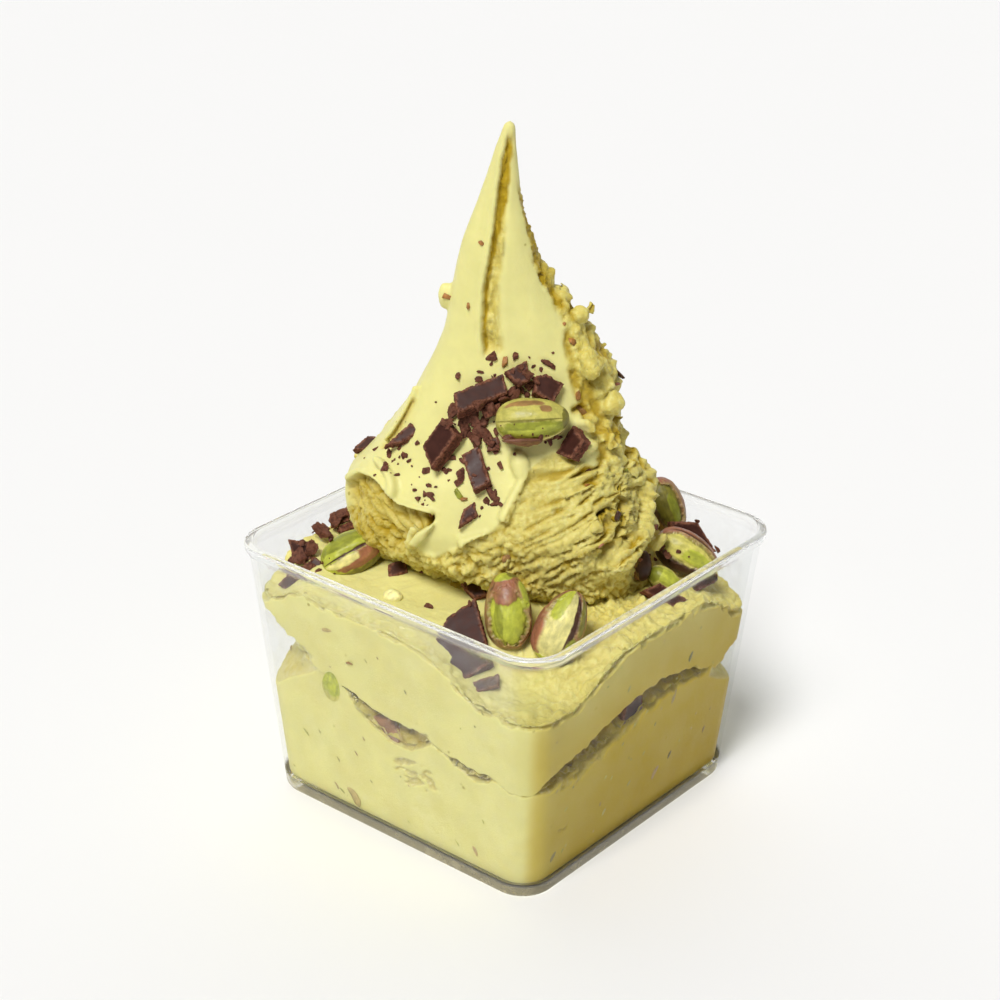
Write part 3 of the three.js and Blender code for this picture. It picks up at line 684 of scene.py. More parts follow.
def nut_material(settings):
    """Kernel: the "tint" painted on the piece, broken up by fine streaks and specks."""
    n = Nodes(bpy.data.materials.new("pistachio_kernel"))
    tint = n.attribute("tint", "Color")
    fine = n.noise(700, 4, 0.6)
    colour = n.mix(n.ramp(fine, 0.3, 0.75), n.mix(1.0, tint, (0.80, 0.80, 0.78, 1), "MULTIPLY"),
                   n.mix(1.0, tint, (1.12, 1.10, 1.08, 1), "MULTIPLY"))
    specks = n.ramp(n.noise(1900, 2, 0.5), 0.68, 0.76)
    colour = n.mix(n.times(specks, 0.35), colour, (0.16, 0.09, 0.03, 1))
    wrinkle = n.bump(fine, 0.00012, 0.7, n.bump(n.noise(520, 3), 0.00022, 0.6))
    return n.surface(n.add("ShaderNodeBsdfPrincipled", {
        "Base Color": colour, "Roughness": n.ramp(fine, -0.7, 1.9), "IOR": 1.45,
        "Subsurface Weight": 0.12, "Subsurface Radius": (0.8, 0.7, 0.2),
        "Subsurface Scale": 0.0008, "Normal": wrinkle}))


def floor_material(settings):
    n = Nodes(bpy.data.materials.new("studio_floor"))
    shade = n.mix(n.noise(8, 2), rgba(settings.floor), rgba(settings.floor, 0.99))
    return n.surface(n.add("ShaderNodeBsdfPrincipled", {
        "Base Color": shade, "Roughness": 0.65, "Specular IOR Level": 0.2}))


def studio_world(settings):
    """The backdrop behind the cup is bright, and the room on the camera's side is dim."""
    n = Nodes(bpy.data.worlds.new("studio"), "World", "Generated")
    ahead = n.add("ShaderNodeVectorMath", {
        0: n.where, 1: (-math.sin(settings.azimuth), math.cos(settings.azimuth), 0)},
        operation="DOT_PRODUCT")
    strength = n.add("ShaderNodeMapRange", {
        "Value": ahead.outputs["Value"], "From Min": 0.1, "From Max": 0.8,
        "To Min": settings.fill, "To Max": settings.backdrop}, interpolation_type="SMOOTHSTEP")
    return n.surface(n.add("ShaderNodeBackground", {
        "Color": (1, 1, 1, 1), "Strength": strength.outputs["Result"]}))


MATERIALS = {"cup_plastic": (plastic_material, "gelato_cup_cup"),
             "pistachio_gelato": (gelato_material, "gelato_cup_gelato"),
             "dark_chocolate": (chocolate_material, "gelato_cup_chocolate"),
             "pistachio_kernel": (nut_material, "gelato_cup_kernels"),
             "studio_floor": (floor_material, "gelato_cup_stage")}


def material(name):
    """One of the cup's materials, made from the scene's settings when it is first asked for."""
    make, group = MATERIALS[name]
    return bpy.data.materials.get(name) or make(getattr(bpy.context.scene, group))


# ---- Cup ----------------------------------------------------------------------------------

def wall_half(z):
    """Half the outer side of the cup at a height."""
    return FOOT_HALF + (RIM_HALF - RIM_OVERHANG - FOOT_HALF) * np.asarray(z, float) / CUP_HEIGHT


def wall_radius(z):
    """Outer corner radius of the cup at a height."""
    rise = RIM_RADIUS - RIM_OVERHANG - FOOT_RADIUS
    return FOOT_RADIUS + rise * np.asarray(z, float) / CUP_HEIGHT


def square_points(count, half, radii):
    """Points evenly round a square with rounded corners: quarter circles joined by straight
    sides, anticlockwise from the middle of the +X side. half is one number per ring; radii has
    one number per ring and corner, from (+X, +Y) on round."""
    half = np.atleast_1d(half)[:, None]
    t = np.linspace(0, 4, count, endpoint=False)[None] + 0 * half
    side = np.floor(t + 0.5).astype(int) % 4
    local = (t + 0.5) % 1.0 - 0.5
    after = np.take_along_axis(radii, side % 4, 1)
    before = np.take_along_axis(radii, (side - 1) % 4, 1)
    radius = np.where(local >= 0, after, before)
    flat = half - radius
    arc = radius * math.pi / 4
    run = np.abs(local) * 2 * (flat + arc)
    bend = np.clip((run - flat) / np.maximum(radius, 1e-6), 0, math.pi / 4)
    u = np.minimum(run, flat) + radius * np.sin(bend)
    w = half - radius * (1 - np.cos(bend))
    u = u * np.where(local >= 0, 1, -1)
    turn = side * math.pi / 2
    return np.stack([w * np.cos(turn) - u * np.sin(turn),
                     w * np.sin(turn) + u * np.cos(turn)], -1)


def cup_rings():
    """Profile of the cup from the middle of the foot, up outside, over the rim bead and down
    inside: height, inset from the outer wall and share of the full ring."""
    quarter = np.linspace(0, math.pi / 2, 6)
    rim_foot = CUP_HEIGHT - RIM_DEPTH
    inner = RIM_WALL - RIM_OVERHANG
    rings = [(0, FOOT_ROUND, 0), (0, FOOT_ROUND, 0.5), (0, FOOT_ROUND, 0.97)]
    rings += [(FOOT_ROUND * (1 - math.cos(q)), FOOT_ROUND * (1 - math.sin(q)), 1)
              for q in quarter]
    rings += [(z, 0, 1) for z in np.linspace(FOOT_ROUND, rim_foot - 0.4, 12)[1:]]
    rings += [(rim_foot - 0.1, -0.12, 1), (rim_foot + 0.15, -RIM_OVERHANG + 0.25, 1)]
    rings += [(rim_foot + 0.15 + RIM_ROUND * math.sin(q),
               -RIM_OVERHANG + 0.25 * math.cos(q), 1) for q in quarter[1:]]
    rings += [(CUP_HEIGHT - RIM_ROUND * (1 - math.sin(q)),
               -RIM_OVERHANG + RIM_ROUND * (1 - math.cos(q)), 1) for q in quarter]
    rings += [(CUP_HEIGHT - RIM_ROUND * (1 - math.cos(q)),
               inner - RIM_ROUND * (1 - math.sin(q)), 1) for q in quarter]
    rings += [(rim_foot + 0.3, inner, 1), (rim_foot - 0.2, WALL, 1)]
    rings += [(z, WALL, 1) for z in np.linspace(rim_foot - 0.6, FLOOR + FLOOR_FILLET, 12)]
    rings += [(FLOOR + FLOOR_FILLET * (1 - math.sin(q)),
               WALL + FLOOR_FILLET * (1 - math.cos(q)), 1) for q in quarter[1:]]
    rings += [(FLOOR, WALL + FLOOR_FILLET, s) for s in (0.9, 0.5, 0)]
    return np.array(rings, float)


def cup_shell(count=448):
    """The cup's profile carried round a rounded square, with count points in a ring."""
    z, inset, share = cup_rings().T
    radius = np.maximum(wall_radius(z) - inset, 0.3)
    xy = square_points(count, wall_half(z) - inset, np.repeat(radius[:, None], 4, 1))
    xy = xy * share[:, None, None]
    return shell(np.dstack([xy, np.repeat(z[:, None], count, 1)]))


# ---- Gelato in the cup --------------------------------------------------------------------

def fill_top(x, y):
    """Height of the filling: a slow fall to +X, a swell under the lobe, dips at three corners."""
    across, toward = plan_xy(x, y)
    swell = 1.6 * np.exp(-(across / 27) ** 2 - ((toward + 2) / 18) ** 2)
    ripples = 0.5 * np.sin(0.21 * x + 1.3) * np.cos(0.17 * y - 0.6)
    dips = sum(depth * step((reach - np.hypot(x - cx, y - cy)) / run)
               for cx, cy, depth, reach, run in FILL_DIPS)
    return LAYER_TOP - LAYER_SLOPE * x + swell + ripples - dips


def along_walls(x, y):
    """Distance along the two front walls from the front corner, minus on the left one, and how
    close to them a place is, 1 at the wall and 0 far inside or at the rear."""
    s = x + y
    reach = wall_half(30) - WALL
    gap = np.minimum(reach - x, y + reach)
    near = step(1 - gap / 11) * step((s + 62) / 12) * step((70 - s) / 12)
    return s, near, gap


def seam_at(x, y):
    """Height of the seam between the layers: it rises away from the front corner and falls at
    the rear right, and follows SEAM_AT_WALLS at the front walls."""
    rear = step((y - 3) / 30) * step((x + 10) / 45)
    inner = SEAM_LOW + SEAM_RISE * step(np.hypot(x - 35, y + 35) / SEAM_REACH) - SEAM_FALL * rear
    s, near, _ = along_walls(x, y)
    level = np.stack([x, y, 0 * x], -1)
    wall = (np.interp(s, *SEAM_AT_WALLS) + 0.25 * noise(level, 1.3, 90)
            + 0.5 * step(s / 8) * layered(level, 3.4, 92, 2))
    return inner + near * (wall - inner)


def crack_at(x, y):
    """How far the seam gapes at the front walls."""
    s, near, gap = along_walls(x, y)
    return np.interp(s, *CRACK_AT_WALLS) * step(1 - gap / CRACK_DEPTH) * (near > 0)


def edge_points(count, z):
    """The layers' edge at given heights, one row of points per height."""
    half = wall_half(z) - WALL
    plain = wall_radius(z) - WALL
    radii = np.repeat(plain[:, None], 4, 1)
    for corner, more, height, spread in REAR_RECESSES:
        radii[:, corner] += more * bump(z, height, spread)
    return square_points(count, half, radii)


def edge_at(count, bottom_at, top_at, rise):
    """Points up the side of a layer at shares of its height. The edge leans with the wall, so
    its height and its place are found together, in passes."""
    table_z = np.linspace(2, 52, 101)
    table = edge_points(count, table_z)
    z = np.full((len(rise), count), 25.0)
    column = np.arange(count)[None]
    for _ in range(EDGE_PASSES):
        k = np.clip((z - table_z[0]) / (table_z[1] - table_z[0]), 0, len(table_z) - 1.001)
        low = np.floor(k).astype(int)
        part = (k - low)[..., None]
        xy = table[low, column] * (1 - part) + table[low + 1, column] * part
        b, t = bottom_at(xy[..., 0], xy[..., 1]), top_at(xy[..., 0], xy[..., 1])
        z = z + 0.5 * (b + (t - b) * rise[:, None] - z)
    return xy, z


def layer_grid(count, bottom_at, top_at, under, rise, over):
    """Rings of a layer: from the middle of its underside out, up the side, and in over its top.
    under and over are shares of the edge's reach, rise shares of the side's height."""
    foot, _ = edge_at(count, bottom_at, top_at, np.zeros(1))
    side, side_z = edge_at(count, bottom_at, top_at, rise)
    head, _ = edge_at(count, bottom_at, top_at, np.ones(1))
    rows = []
    for share in under:
        xy = foot[0] * share
        rows.append(np.column_stack([xy, bottom_at(xy[:, 0], xy[:, 1])]))
    for xy, z in zip(side, side_z):
        rows.append(np.column_stack([xy, z]))
    for share in over:
        xy = head[0] * share
        rows.append(np.column_stack([xy, top_at(xy[:, 0], xy[:, 1])]))
    return np.array(rows)


def outward(grid):
    """Unit normals of a closed grid of rings: across the rings and along them, crossed."""
    along = np.roll(grid, -1, 1) - np.roll(grid, 1, 1)
    up = np.gradient(grid, axis=0)
    n = np.cross(along, up)
    size = np.linalg.norm(n, axis=-1, keepdims=True)
    n = n / np.maximum(size, 1e-9)
    n[0], n[-1] = (0, 0, -1), (0, 0, 1)
    return n


def ease(values, times):
    """A grid's values averaged with their four neighbours, some number of times."""
    for _ in range(times):
        rows = np.pad(values, ((1, 1), (0, 0)), mode="edge")
        values = (2 * values + rows[:-2] + rows[2:] + np.roll(values, 1, 1)
                  + np.roll(values, -1, 1)) / 6
    return values


def press_to_wall(points, into=INTO_WALL):
    """Points outside the cup's inner wall brought back to just inside the plastic: the nearest
    point of the rounded square at their height."""
    z = points[..., 2]
    half = wall_half(z) - WALL + into
    radius = wall_radius(z) - WALL
    core = half - radius
    x, y = points[..., 0], points[..., 1]
    qx, qy = np.maximum(np.abs(x) - core, 0), np.maximum(np.abs(y) - core, 0)
    far = np.hypot(qx, qy)
    share = np.where(far > radius, radius / np.maximum(far, 1e-9), 1)
    nx = np.where(qx > 0, core + qx * share, np.abs(x)) * np.sign(x)
    ny = np.where(qy > 0, core + qy * share, np.abs(y)) * np.sign(y)
    return np.stack([nx, ny, np.maximum(z, FLOOR - INTO_WALL)], -1)


def wall_gap(points):
    """How far points stand inside the cup's inner wall."""
    z = points[..., 2]
    half = wall_half(z) - WALL
    radius = wall_radius(z) - WALL
    core = half - radius
    qx = np.abs(points[..., 0]) - core
    qy = np.abs(points[..., 1]) - core
    outer = np.hypot(np.maximum(qx, 0), np.maximum(qy, 0)) + np.minimum(np.maximum(qx, qy), 0)
    return radius - outer


def pits(grid, patch, size, seed):
    """Where the few small pits on the glass lie: spots of noise inside patches of larger noise."""
    return (step(layered(grid, patch, seed + 1, 2), 0.35, 0.6)
            * step(layered(grid, size, seed), 0.5, 0.7))


def pushed(grid, normal, move):
    """A grid moved along its normals and pressed on the cup's wall, and where it touches it."""
    grid = grid + normal * move[..., None]
    return press_to_wall(grid), wall_gap(grid) < TOUCH


def upper_layer():
    """The upper layer: torn, crumbly edges along the walls, a spread top, gaps at the glass."""
    under = [0, 0.3, 0.55, 0.72, 0.82, 0.88, 0.92, 0.95, 0.975]
    rise = np.concatenate([[0, 0.002], np.linspace(0.012, 0.985, 74), [1]])
    over = np.concatenate([1 - np.linspace(0.006, 0.40, 62),
                           [0.57, 0.54, 0.5, 0.45, 0.4, 0.33, 0.25, 0.15, 0.07, 0]])
    grid = layer_grid(LAYER_COUNT, seam_at, fill_top, under, rise, over)
    normal = outward(grid)
    normal[len(under)] = normal[len(under) + 1]
    x, y, z = grid[..., 0], grid[..., 1], grid[..., 2]
    gap = wall_gap(grid)
    right = step((x + y + 18) / 30)  # 0 at the front left wall, 1 at the front right one
    ragged = layered(grid, 2.4, 3, 3, 0.6)
    below_top = fill_top(x, y) - z + 0.7 * ragged
    above_seam = z - seam_at(x, y)
    gape = step(crack_at(x, y) / 1.2)
    # The side is pressed on the glass, and rolls away from it at the top and over the crack.
    roll = (1.7 * step(1 - below_top / (1.3 + 1.2 * right))
            + gape * 1.5 * step(1 - (above_seam + 0.35 * ragged) / 0.9))
    away = step(np.maximum(roll, gap), 0.15, 1.0)
    side_move = PRESS - roll + 0.7 * ragged * away
    side_move = side_move - 1.3 * pits(grid, 8, (1.6, 1.6, 1.1), 8) * (0.3 + 0.7 * right)
    # The recesses at the rear corners of the front walls have crumbly sides.
    recess = step(gap, 1.0, 3.0) * step(normal[..., 2], 0.75, 0.3)
    side_move = ease(side_move + recess * 0.8 * lumps(grid, 3.2, 16, 3), 2)
    # The top is spread smooth at the front left and torn near the front right wall.
    on_top = step(normal[..., 2], 0.35, 0.8)
    torn = np.clip(0.14 + 0.86 * step((x + 0.8 * y + 6) / 26) + 0.55 * step(5 - gap, 0, 4), 0, 1)
    rubble = 0.62 * lumps(grid, 3.0, 31, 3) + 0.25 * layered(grid, 1.3, 33, 2)
    dents = step(layered(grid, (7, 7, 7), 44, 2), 0.45, 0.75)
    top_move = (0.45 * layered(grid, 11.0, 21, 2) + torn * rubble
                - 0.6 * dents * (0.25 + torn))
    at_side = np.maximum(step(3.0 - gap, 0, 1.6), recess)
    grid, touching = pushed(grid, normal, on_top * top_move + (1 - on_top) * at_side * side_move)
    rough = np.clip(on_top * torn + (1 - on_top) * (0.3 + step(roll, 0, 0.8)), 0, 1)
    # Painted shade: at the crack just above the seam and in the valleys of the torn top; on the glass,
    # the walls' painted shade.
    hollow = 0.5 * gape * step(1.3 - above_seam, 0, 1.5) + on_top * torn * 0.25 * step(-rubble, 0, 0.7)
    # Painted shade on the glass, and a little of it where the side stands off the glass low down.
    pressed, deep = side_shade(grid)
    hollow = np.where(touching, deep, hollow * (1 - 0.3 * (1 - on_top)))
    return (grid, np.where(touching, 0.0, 0.75 * rough), np.clip(hollow, 0, 1),
            np.where(touching, pressed, 0.6 * pressed * (z < 44)))


def side_shade(points):
    """Painted shade on the glass: on the right-hand wall the gelato is painted darker and more
    mustard, deeper low down and to the rear; on the left it is only mottled."""
    y, z = points[..., 1], points[..., 2]
    right = step((points[..., 0] - wall_half(z) + WALL + 2.5) / 2.2)
    mottled = layered(points, 9, 95, 3)
    pressed = right * (0.34 + 0.40 * step((47 - z) / 17)
                       + 0.20 * step((y + 34) / 34)) + 0.05 + 0.07 * mottled
    deep = right * (0.58 * step((36 - z) / 32) * step((y + 42) / 26)
                    + 0.24 * step((y + 26) / 55) + 0.08 * mottled)
    return np.clip(pressed, 0, 1), np.clip(deep + 0.03 * (1 - right) * mottled, 0, 1)


def lower_layer():
    """The lower layer: pressed on the walls and the floor, its top edge torn where it shows in
    the gap, with porous places at the glass under it."""
    under = [0, 0.5, 0.9, 0.985]
    rise = np.concatenate([[0], np.linspace(0.02, 0.985, 84), [0.997, 1]])
    over = np.concatenate([1 - np.linspace(0.006, 0.2, 36), [0.75, 0.66, 0.5, 0.3, 0]])
    top_at = lambda x, y: seam_at(x, y) - crack_at(x, y) + 0.25
    grid = layer_grid(LAYER_COUNT, lambda x, y: FLOOR + 0 * x, top_at, under, rise, over)
    normal = outward(grid)
    brim = len(under) + len(rise) - 1
    normal[brim] = normal[brim - 1]
    x, y, z = grid[..., 0], grid[..., 1], grid[..., 2]
    gap = wall_gap(grid)
    s, near, _ = along_walls(x, y)
    below_top = top_at(x, y) - z
    gape = step(crack_at(x, y) / 1.2)
    # Under the crack the side is torn: it leans back from the glass and touches it in spots.
    reach = np.interp(s, *TORN_AT_WALLS) * (near > 0) + 0.01
    zone = step(1 - below_top / reach) * step(reach, 0.3, 1.0)
    slant = np.stack([x, y, z - 0.42 * np.maximum(s, 0) - 0.1 * np.minimum(s, 0)], -1)
    relief = 0.75 * lumps(slant, (3.6, 3.6, 1.5), 61, 3) + 0.3 * layered(grid, 1.2, 62, 2)
    porous_at, porous_height = POROUS_PATCH
    patch = bump(s, *porous_at) * bump(z, *porous_height)
    pores = np.maximum(zone, 0.8 * step(patch, 0.25, 0.6))
    roll = gape * 1.6 * step(1 - (below_top + 0.4 * relief) / 1.4) + 0.9 * zone ** 2
    side_move = PRESS - roll + pores * (2.1 * relief - 0.9)
    side_move = side_move - 1.2 * pits(grid, 9, (1.5, 1.5, 1.1), 18)
    on_top = step(normal[..., 2], 0.4, 0.8)
    lump = 0.6 * lumps(grid, 2.8, 71, 3) + 0.3 * layered(grid, 5, 73, 2)
    recess = step(gap, 1.0, 3.0) * step(np.abs(normal[..., 2]), 0.75, 0.3)
    side_move = ease(side_move + recess * 1.1 * lumps(grid, 3.2, 26, 3), 2)
    at_side = np.maximum(step(1.8 - gap, 0, 1.3), recess)
    move = on_top * lump + (1 - on_top) * at_side * side_move
    grid, touching = pushed(grid, normal, np.where(normal[..., 2] < -0.5, 0.0, move))
    rough = np.where(touching, 0.0, np.clip(on_top + 0.5 + roll, 0, 0.8))
    # Painted shade: a little over all that is off the glass, more deeper into the crack and in the
    # pores.
    hollow = 0.12 + 0.5 * gape * step(wall_gap(grid), 0.3, 2.5) + 0.2 * pores
    # Painted shade on the glass, as on the upper layer.
    pressed, deep = side_shade(grid)
    return (grid, rough, np.clip(np.where(touching, deep, hollow), 0, 1),
            np.where(touching, pressed, 0.7 * pressed))


# ---- Lobe and peak ------------------------------------------------------------------------

def swirl_reach(z):
    """The lobe's row of reaches at each height, straight between rows and then averaged over a
    few millimetres, so that no row shows."""
    span = np.linspace(-2.2, 2.2, 9)
    weight = bump(span, 0, 1.4)
    rows = [np.array([np.interp(z + s, SWIRL_ROWS[:, 0], SWIRL_ROWS[:, k]) for k in range(1, 6)])
            for s in span]
    return sum(w * r for w, r in zip(weight, rows)) / weight.sum()


def swirl_grid(rings=190, count=300):
    """The lobe's plain form: at each height a rounded oval, between an ellipse and a box, with
    its own reach each way, turned a little; closed by a dome at the tip."""
    z = np.concatenate([[46.5, 47.0, 48.5], np.linspace(49, SWIRL_TOP, rings)])
    left, right, front, back, turn = swirl_reach(z)
    dome = np.sqrt(np.clip(1 - (np.maximum(z - SWIRL_TOP + SWIRL_TIP_ROUND, 0)
                                / SWIRL_TIP_ROUND) ** 2, 0, 1))
    dome[:2] = 0, 0.8
    angle = np.linspace(0, 2 * math.pi, count, endpoint=False)[None]
    a, b = ((right + left) / 2)[:, None], ((front + back) / 2)[:, None]
    n = SWIRL_SQUARENESS
    reach = (np.abs(np.cos(angle) / a) ** n + np.abs(np.sin(angle) / b) ** n) ** (-1 / n)
    reach = reach * dome[:, None]
    turn = np.radians(turn)[:, None]
    across = ((right - left) / 2)[:, None] + reach * np.cos(angle + turn)
    toward = ((front - back) / 2)[:, None] + reach * np.sin(angle + turn)
    x, y = plan_xy(across, toward)
    return np.stack([x, y, np.repeat(z[:, None], count, 1)], -1)


# Drawn lines and places in the picture, in pixels, that the lobe's details follow.
CREASE = ((509, 127), (506, 140), (501, 165), (497, 200), (493, 228), (490, 250), (486, 272),
          (483, 290), (481, 330), (483, 360))
FRINGE = ((517, 178), (523, 205), (529, 233), (536, 260), (545, 284), (557, 304))
CRUMBLY_EDGE = ((546, 292), (560, 322), (566, 372), (574, 396), (590, 440), (598, 468))
TORN_EDGE = ((420, 549), (434, 557), (452, 549), (470, 542), (488, 533), (503, 520), (509, 507),
             (519, 488), (527, 471), (541, 458), (556, 450), (575, 458), (596, 466), (625, 462),
             (665, 455))
LOBE_LIP = ((340, 486), (347, 478), (357, 471), (370, 475), (379, 483), (386, 494), (397, 503),
            (411, 508), (424, 511), (436, 515))
UNDERCUT_END = ((446, 512), (430, 528), (416, 536), (407, 548))
FLANK_FOLD = ((416, 396), (405, 417), (395, 434), (380, 450))

# Lips, curls and folds: places that they run through, half widths and heights in millimetres,
# and how far they stand off the surface.
CURLS = (
    (((378, 461), (385, 466), (391, 476), (394, 487), (392, 495)), (0.7, 1.0, 1.25), 1.2, 0.7),
    (((433, 524), (424, 527), (417, 535), (413, 544)), (0.8, 2.0, 1.1), (0.7, 1.3, 0.8), 0.9),
    (LOBE_LIP[1:], (1.0, 0.9, 0.8, 0.5), 0.8, 0.1),
    (((517, 457), (520, 464), (521, 473)), (1.5, 1.9, 1.5), (1.2, 1.6, 1.2), 0.5),
    (((529, 470), (521, 483), (514, 496), (508, 508), (504, 518)), (0.5, 0.8, 1.0, 1.5),
     (0.6, 0.9, 1.3), 0.5),
    (((463, 543), (474, 538), (488, 533)), (1.5, 0.8, 0.5), (1.1, 0.7, 0.4), 0.4),
    (((560, 305), (561, 298), (566, 291)), (0.9, 0.8, 0.6), 0.8, 0.4),
    (((571, 320), (579, 313), (588, 312), (591, 305)), (1.0, 1.2, 1.1, 0.9), 1.0, 0.5),
    (((560, 306), (570, 313), (580, 318)), 1.0, 0.9, 0.3),
    (((448, 287), (446, 295), (449, 304)), (1.2, 1.6, 1.1), 1.4, 0.3),
    (((421, 386), (411, 408), (401, 425), (388, 443)), (0.5, 0.8, 0.6), 0.8, 0.7),
    (((630, 458), (641, 484), (643, 510), (638, 534), (626, 554), (610, 568)),
     (1.4, 2.3, 2.6, 2.3, 1.6), (2.0, 2.8, 2.4), 0.4),
    (((653, 546), (660, 539), (664, 533)), (1.0, 0.7), 0.9, 0.3),
    (((428, 556), (452, 568), (482, 577), (520, 585), (560, 592), (600, 596), (632, 588),
      (648, 574)), (1.2, 1.6, 1.8, 1.8, 1.4), 1.4, -0.2),
    (((575, 555), (598, 546), (622, 536), (645, 524)), (0.7, 1.0, 0.7), 0.9, 0.4),
    (((590, 528), (606, 522), (622, 511)), (0.6, 0.9, 0.6), 0.8, 0.4),
    (((560, 500), (585, 490), (610, 480), (636, 472)), (0.5, 0.8, 0.6), 0.7, 0.2),
    (((600, 570), (618, 562), (632, 550)), (1.2, 1.5, 1.0), 1.2, 0.3),
)
# Tears: places, half width in pixels and depth in millimetres.
TEARS = (
    (((599, 523), (609, 516), (620, 511)), 7.0, 7.0),
    (((616, 478), (625, 500), (624, 525), (613, 546), (596, 562)), 2.6, 2.6),
    (((584, 556), (606, 546), (628, 537), (643, 529)), 2.2, 1.6),
    (((592, 535), (606, 530), (618, 522)), 2.0, 1.3),
    (((545, 540), (570, 528), (596, 512)), 1.4, 0.9),
    (((520, 533), (548, 518), (575, 505)), 1.3, 0.8),
    (((566, 480), (590, 470), (612, 463)), 1.5, 1.0),
    (((604, 500), (625, 490), (645, 484)), 1.6, 1.1),
    (((570, 412), (582, 408), (594, 418)), 3.4, 2.0),
    (((436, 512), (429, 517), (424, 521)), 2.6, 1.6),
)


def swirl_nubs(base, rng):
    """Loose nubs on the torn right flank and round the back, and over the torn foot: lumps of
    uneven size, half sunk, denser where the surface is crumblier."""
    normal = outward(base)
    cols = base.shape[1]
    parts = []
    z = base[:, 0, 2]
    zones = (
        (24, (64, 100), (-150, 38), (0.8, 2.3)),
        (12, (78, 98), (-50, 44), (0.8, 2.2)),
        (20, (52, 74), (-150, 10), (0.9, 1.9)),
        (50, (52, 70), (185, 320), (0.9, 2.0)),
    )
    for number, (z0, z1), (a0, a1), (r0, r1) in zones:
        for _ in range(number):
            i = int(np.searchsorted(z, rng.uniform(z0, z1)))
            j = int(rng.uniform(a0, a1) / 360 * cols) % cols
            size = r0 + (r1 - r0) * rng.random() ** 2.2
            at = base[i, j] + normal[i, j] * size * rng.uniform(-0.6, -0.2)
            squash = rng.uniform(0.6, 1.5, 3)
            parts.append(blob(at, size, int(rng.integers(1, 9999)), squash, 0.4))
    return parts


# Where the lobe's kinds of surface change, in pixels across or down the picture.
FLANK_BOTTOM = 475
PULLED_FROM = (500, 575)   # the foot is nubbly to the left and drawn into ridges to the right
LUMPY_FROM = (540, 566)    # and lumpier below these
KNOTTED_FROM = (570, 620)
TUCKED_LEFT_OF = 505       # the foot's left end is tucked in
BAY_BOTTOM = 560
BAY_RIGHT = (428, 440)


class LobeSkin:
    """The lobe's skin while it is worked: each point's place in the picture and whether it faces
    the camera, its move along its normal, how torn it is, and how much shade is painted on it."""

    def __init__(self, points, normals, picture):
        self.points, self.normals = points, normals
        self.z = points[:, 2]
        self.px, self.py = picture.place(points)
        view = picture.eye - points
        view /= np.linalg.norm(view, axis=1)[:, None]
        self.front = step((normals * view).sum(1), -0.05, 0.25)
        self.level, self.rise, self.depth = (
            points @ axis for axis in (picture.right, picture.up, picture.back))
        self.move, self.hollow, self.torn = np.zeros((3, len(points)))

    def beside(self, line):
        return beside(self.px, self.py, line)

    def tear(self, share):
        self.torn = np.maximum(self.torn, share)


def taper(along, first, last, start=0.0):
    """0 at both ends of a line and 1 between, rising over a share of its length at each end."""
    return step(along, start, first) * step(1 - along, start, last)


def cut_crease(skin):
    """The crease up the peak: the left flap ends in a sharp edge over a rough strip, with a painted
    shadow beside the edge and painted shade in the strip.
    """
    points = skin.points
    away, along = skin.beside(CREASE)
    ends = taper(along, 0.10, 0.06)
    away = -away + 0.9 * noise(points, 3.0, 80) + 0.5 * noise(points, 1.2, 81)
    reach = 5 + 15 * along
    strip = step(away, -0.7, 1.2) * (1 - step(away, 0.35 * reach, 1.5 * reach)) * ends
    wide = 0.6 + 0.5 * along
    skin.move += skin.front * (-1.3 * wide * strip + 0.45 * bump(away, -2.4, 2.4) * ends)
    band = step(away, 0.5, 2) * (1 - step(away, 0.8 * reach, 1.25 * reach)) * ends
    drag = np.stack([skin.level, 0.35 * skin.rise, skin.depth], -1)
    skin.move += skin.front * band * 0.62 * lumps(drag, 1.9, 83, 3)
    broad = 2.6 + 6.5 * bump(along, 0.24, 0.24) + 1.2 * noise(points, 1.6, 84)
    shadow = step(away, -0.4, 1.0) * (1 - step(away, broad, broad + 3.0)) * ends
    # Painted shadow beside the flap's edge, and painted shade in the rough strip.
    skin.hollow += skin.front * (0.95 * shadow + 0.22 * band)
    skin.tear(skin.front * 0.8 * band)


def fray_fringe(skin):
    """The ragged right edge of the peak, painted dark with shade."""
    away, along = skin.beside(FRINGE)
    ragged = (step(-away, -2.6, -0.6) * (1 - step(-away, 4, 8)) * step(along, 0.0, 0.2)
              * step(skin.z, 100, 104))
    skin.move += ragged * (0.55 * layered(skin.points, 1.1, 5, 2) - 0.25)
    # Painted shade on the ragged edge.
    skin.hollow += 0.85 * ragged
    skin.tear(ragged)


def crumble_flank(skin):
    """The crumbly right flank and back: lumps of three sizes. Returns its valleys, for painted shade.
    """
    points, z = skin.points, skin.z
    _, toward = plan_xy(points[:, 0], points[:, 1])
    behind = step(-toward - 6, 0, 8)
    away, _ = skin.beside(CRUMBLY_EDGE)
    flank = (step(-away, -1.5, 6) * (skin.py < FLANK_BOTTOM) * step(z, 68, 73)
             * step(118 - z, 0, 6))
    crumbly = np.clip(np.maximum(flank, behind * step(112 - z, 0, 10)), 0, 1)
    rubble = (1.0 * lumps(points, 6.5, 11, 2) + 0.5 * lumps(points, 3.0, 14, 2)
              + 0.5 * layered(points, 4.0, 15, 2))
    skin.move += crumbly * (rubble + 0.16 * layered(points, 1.1, 12, 2))
    skin.tear(crumbly)
    return crumbly * step(-rubble, 0.0, 0.6)


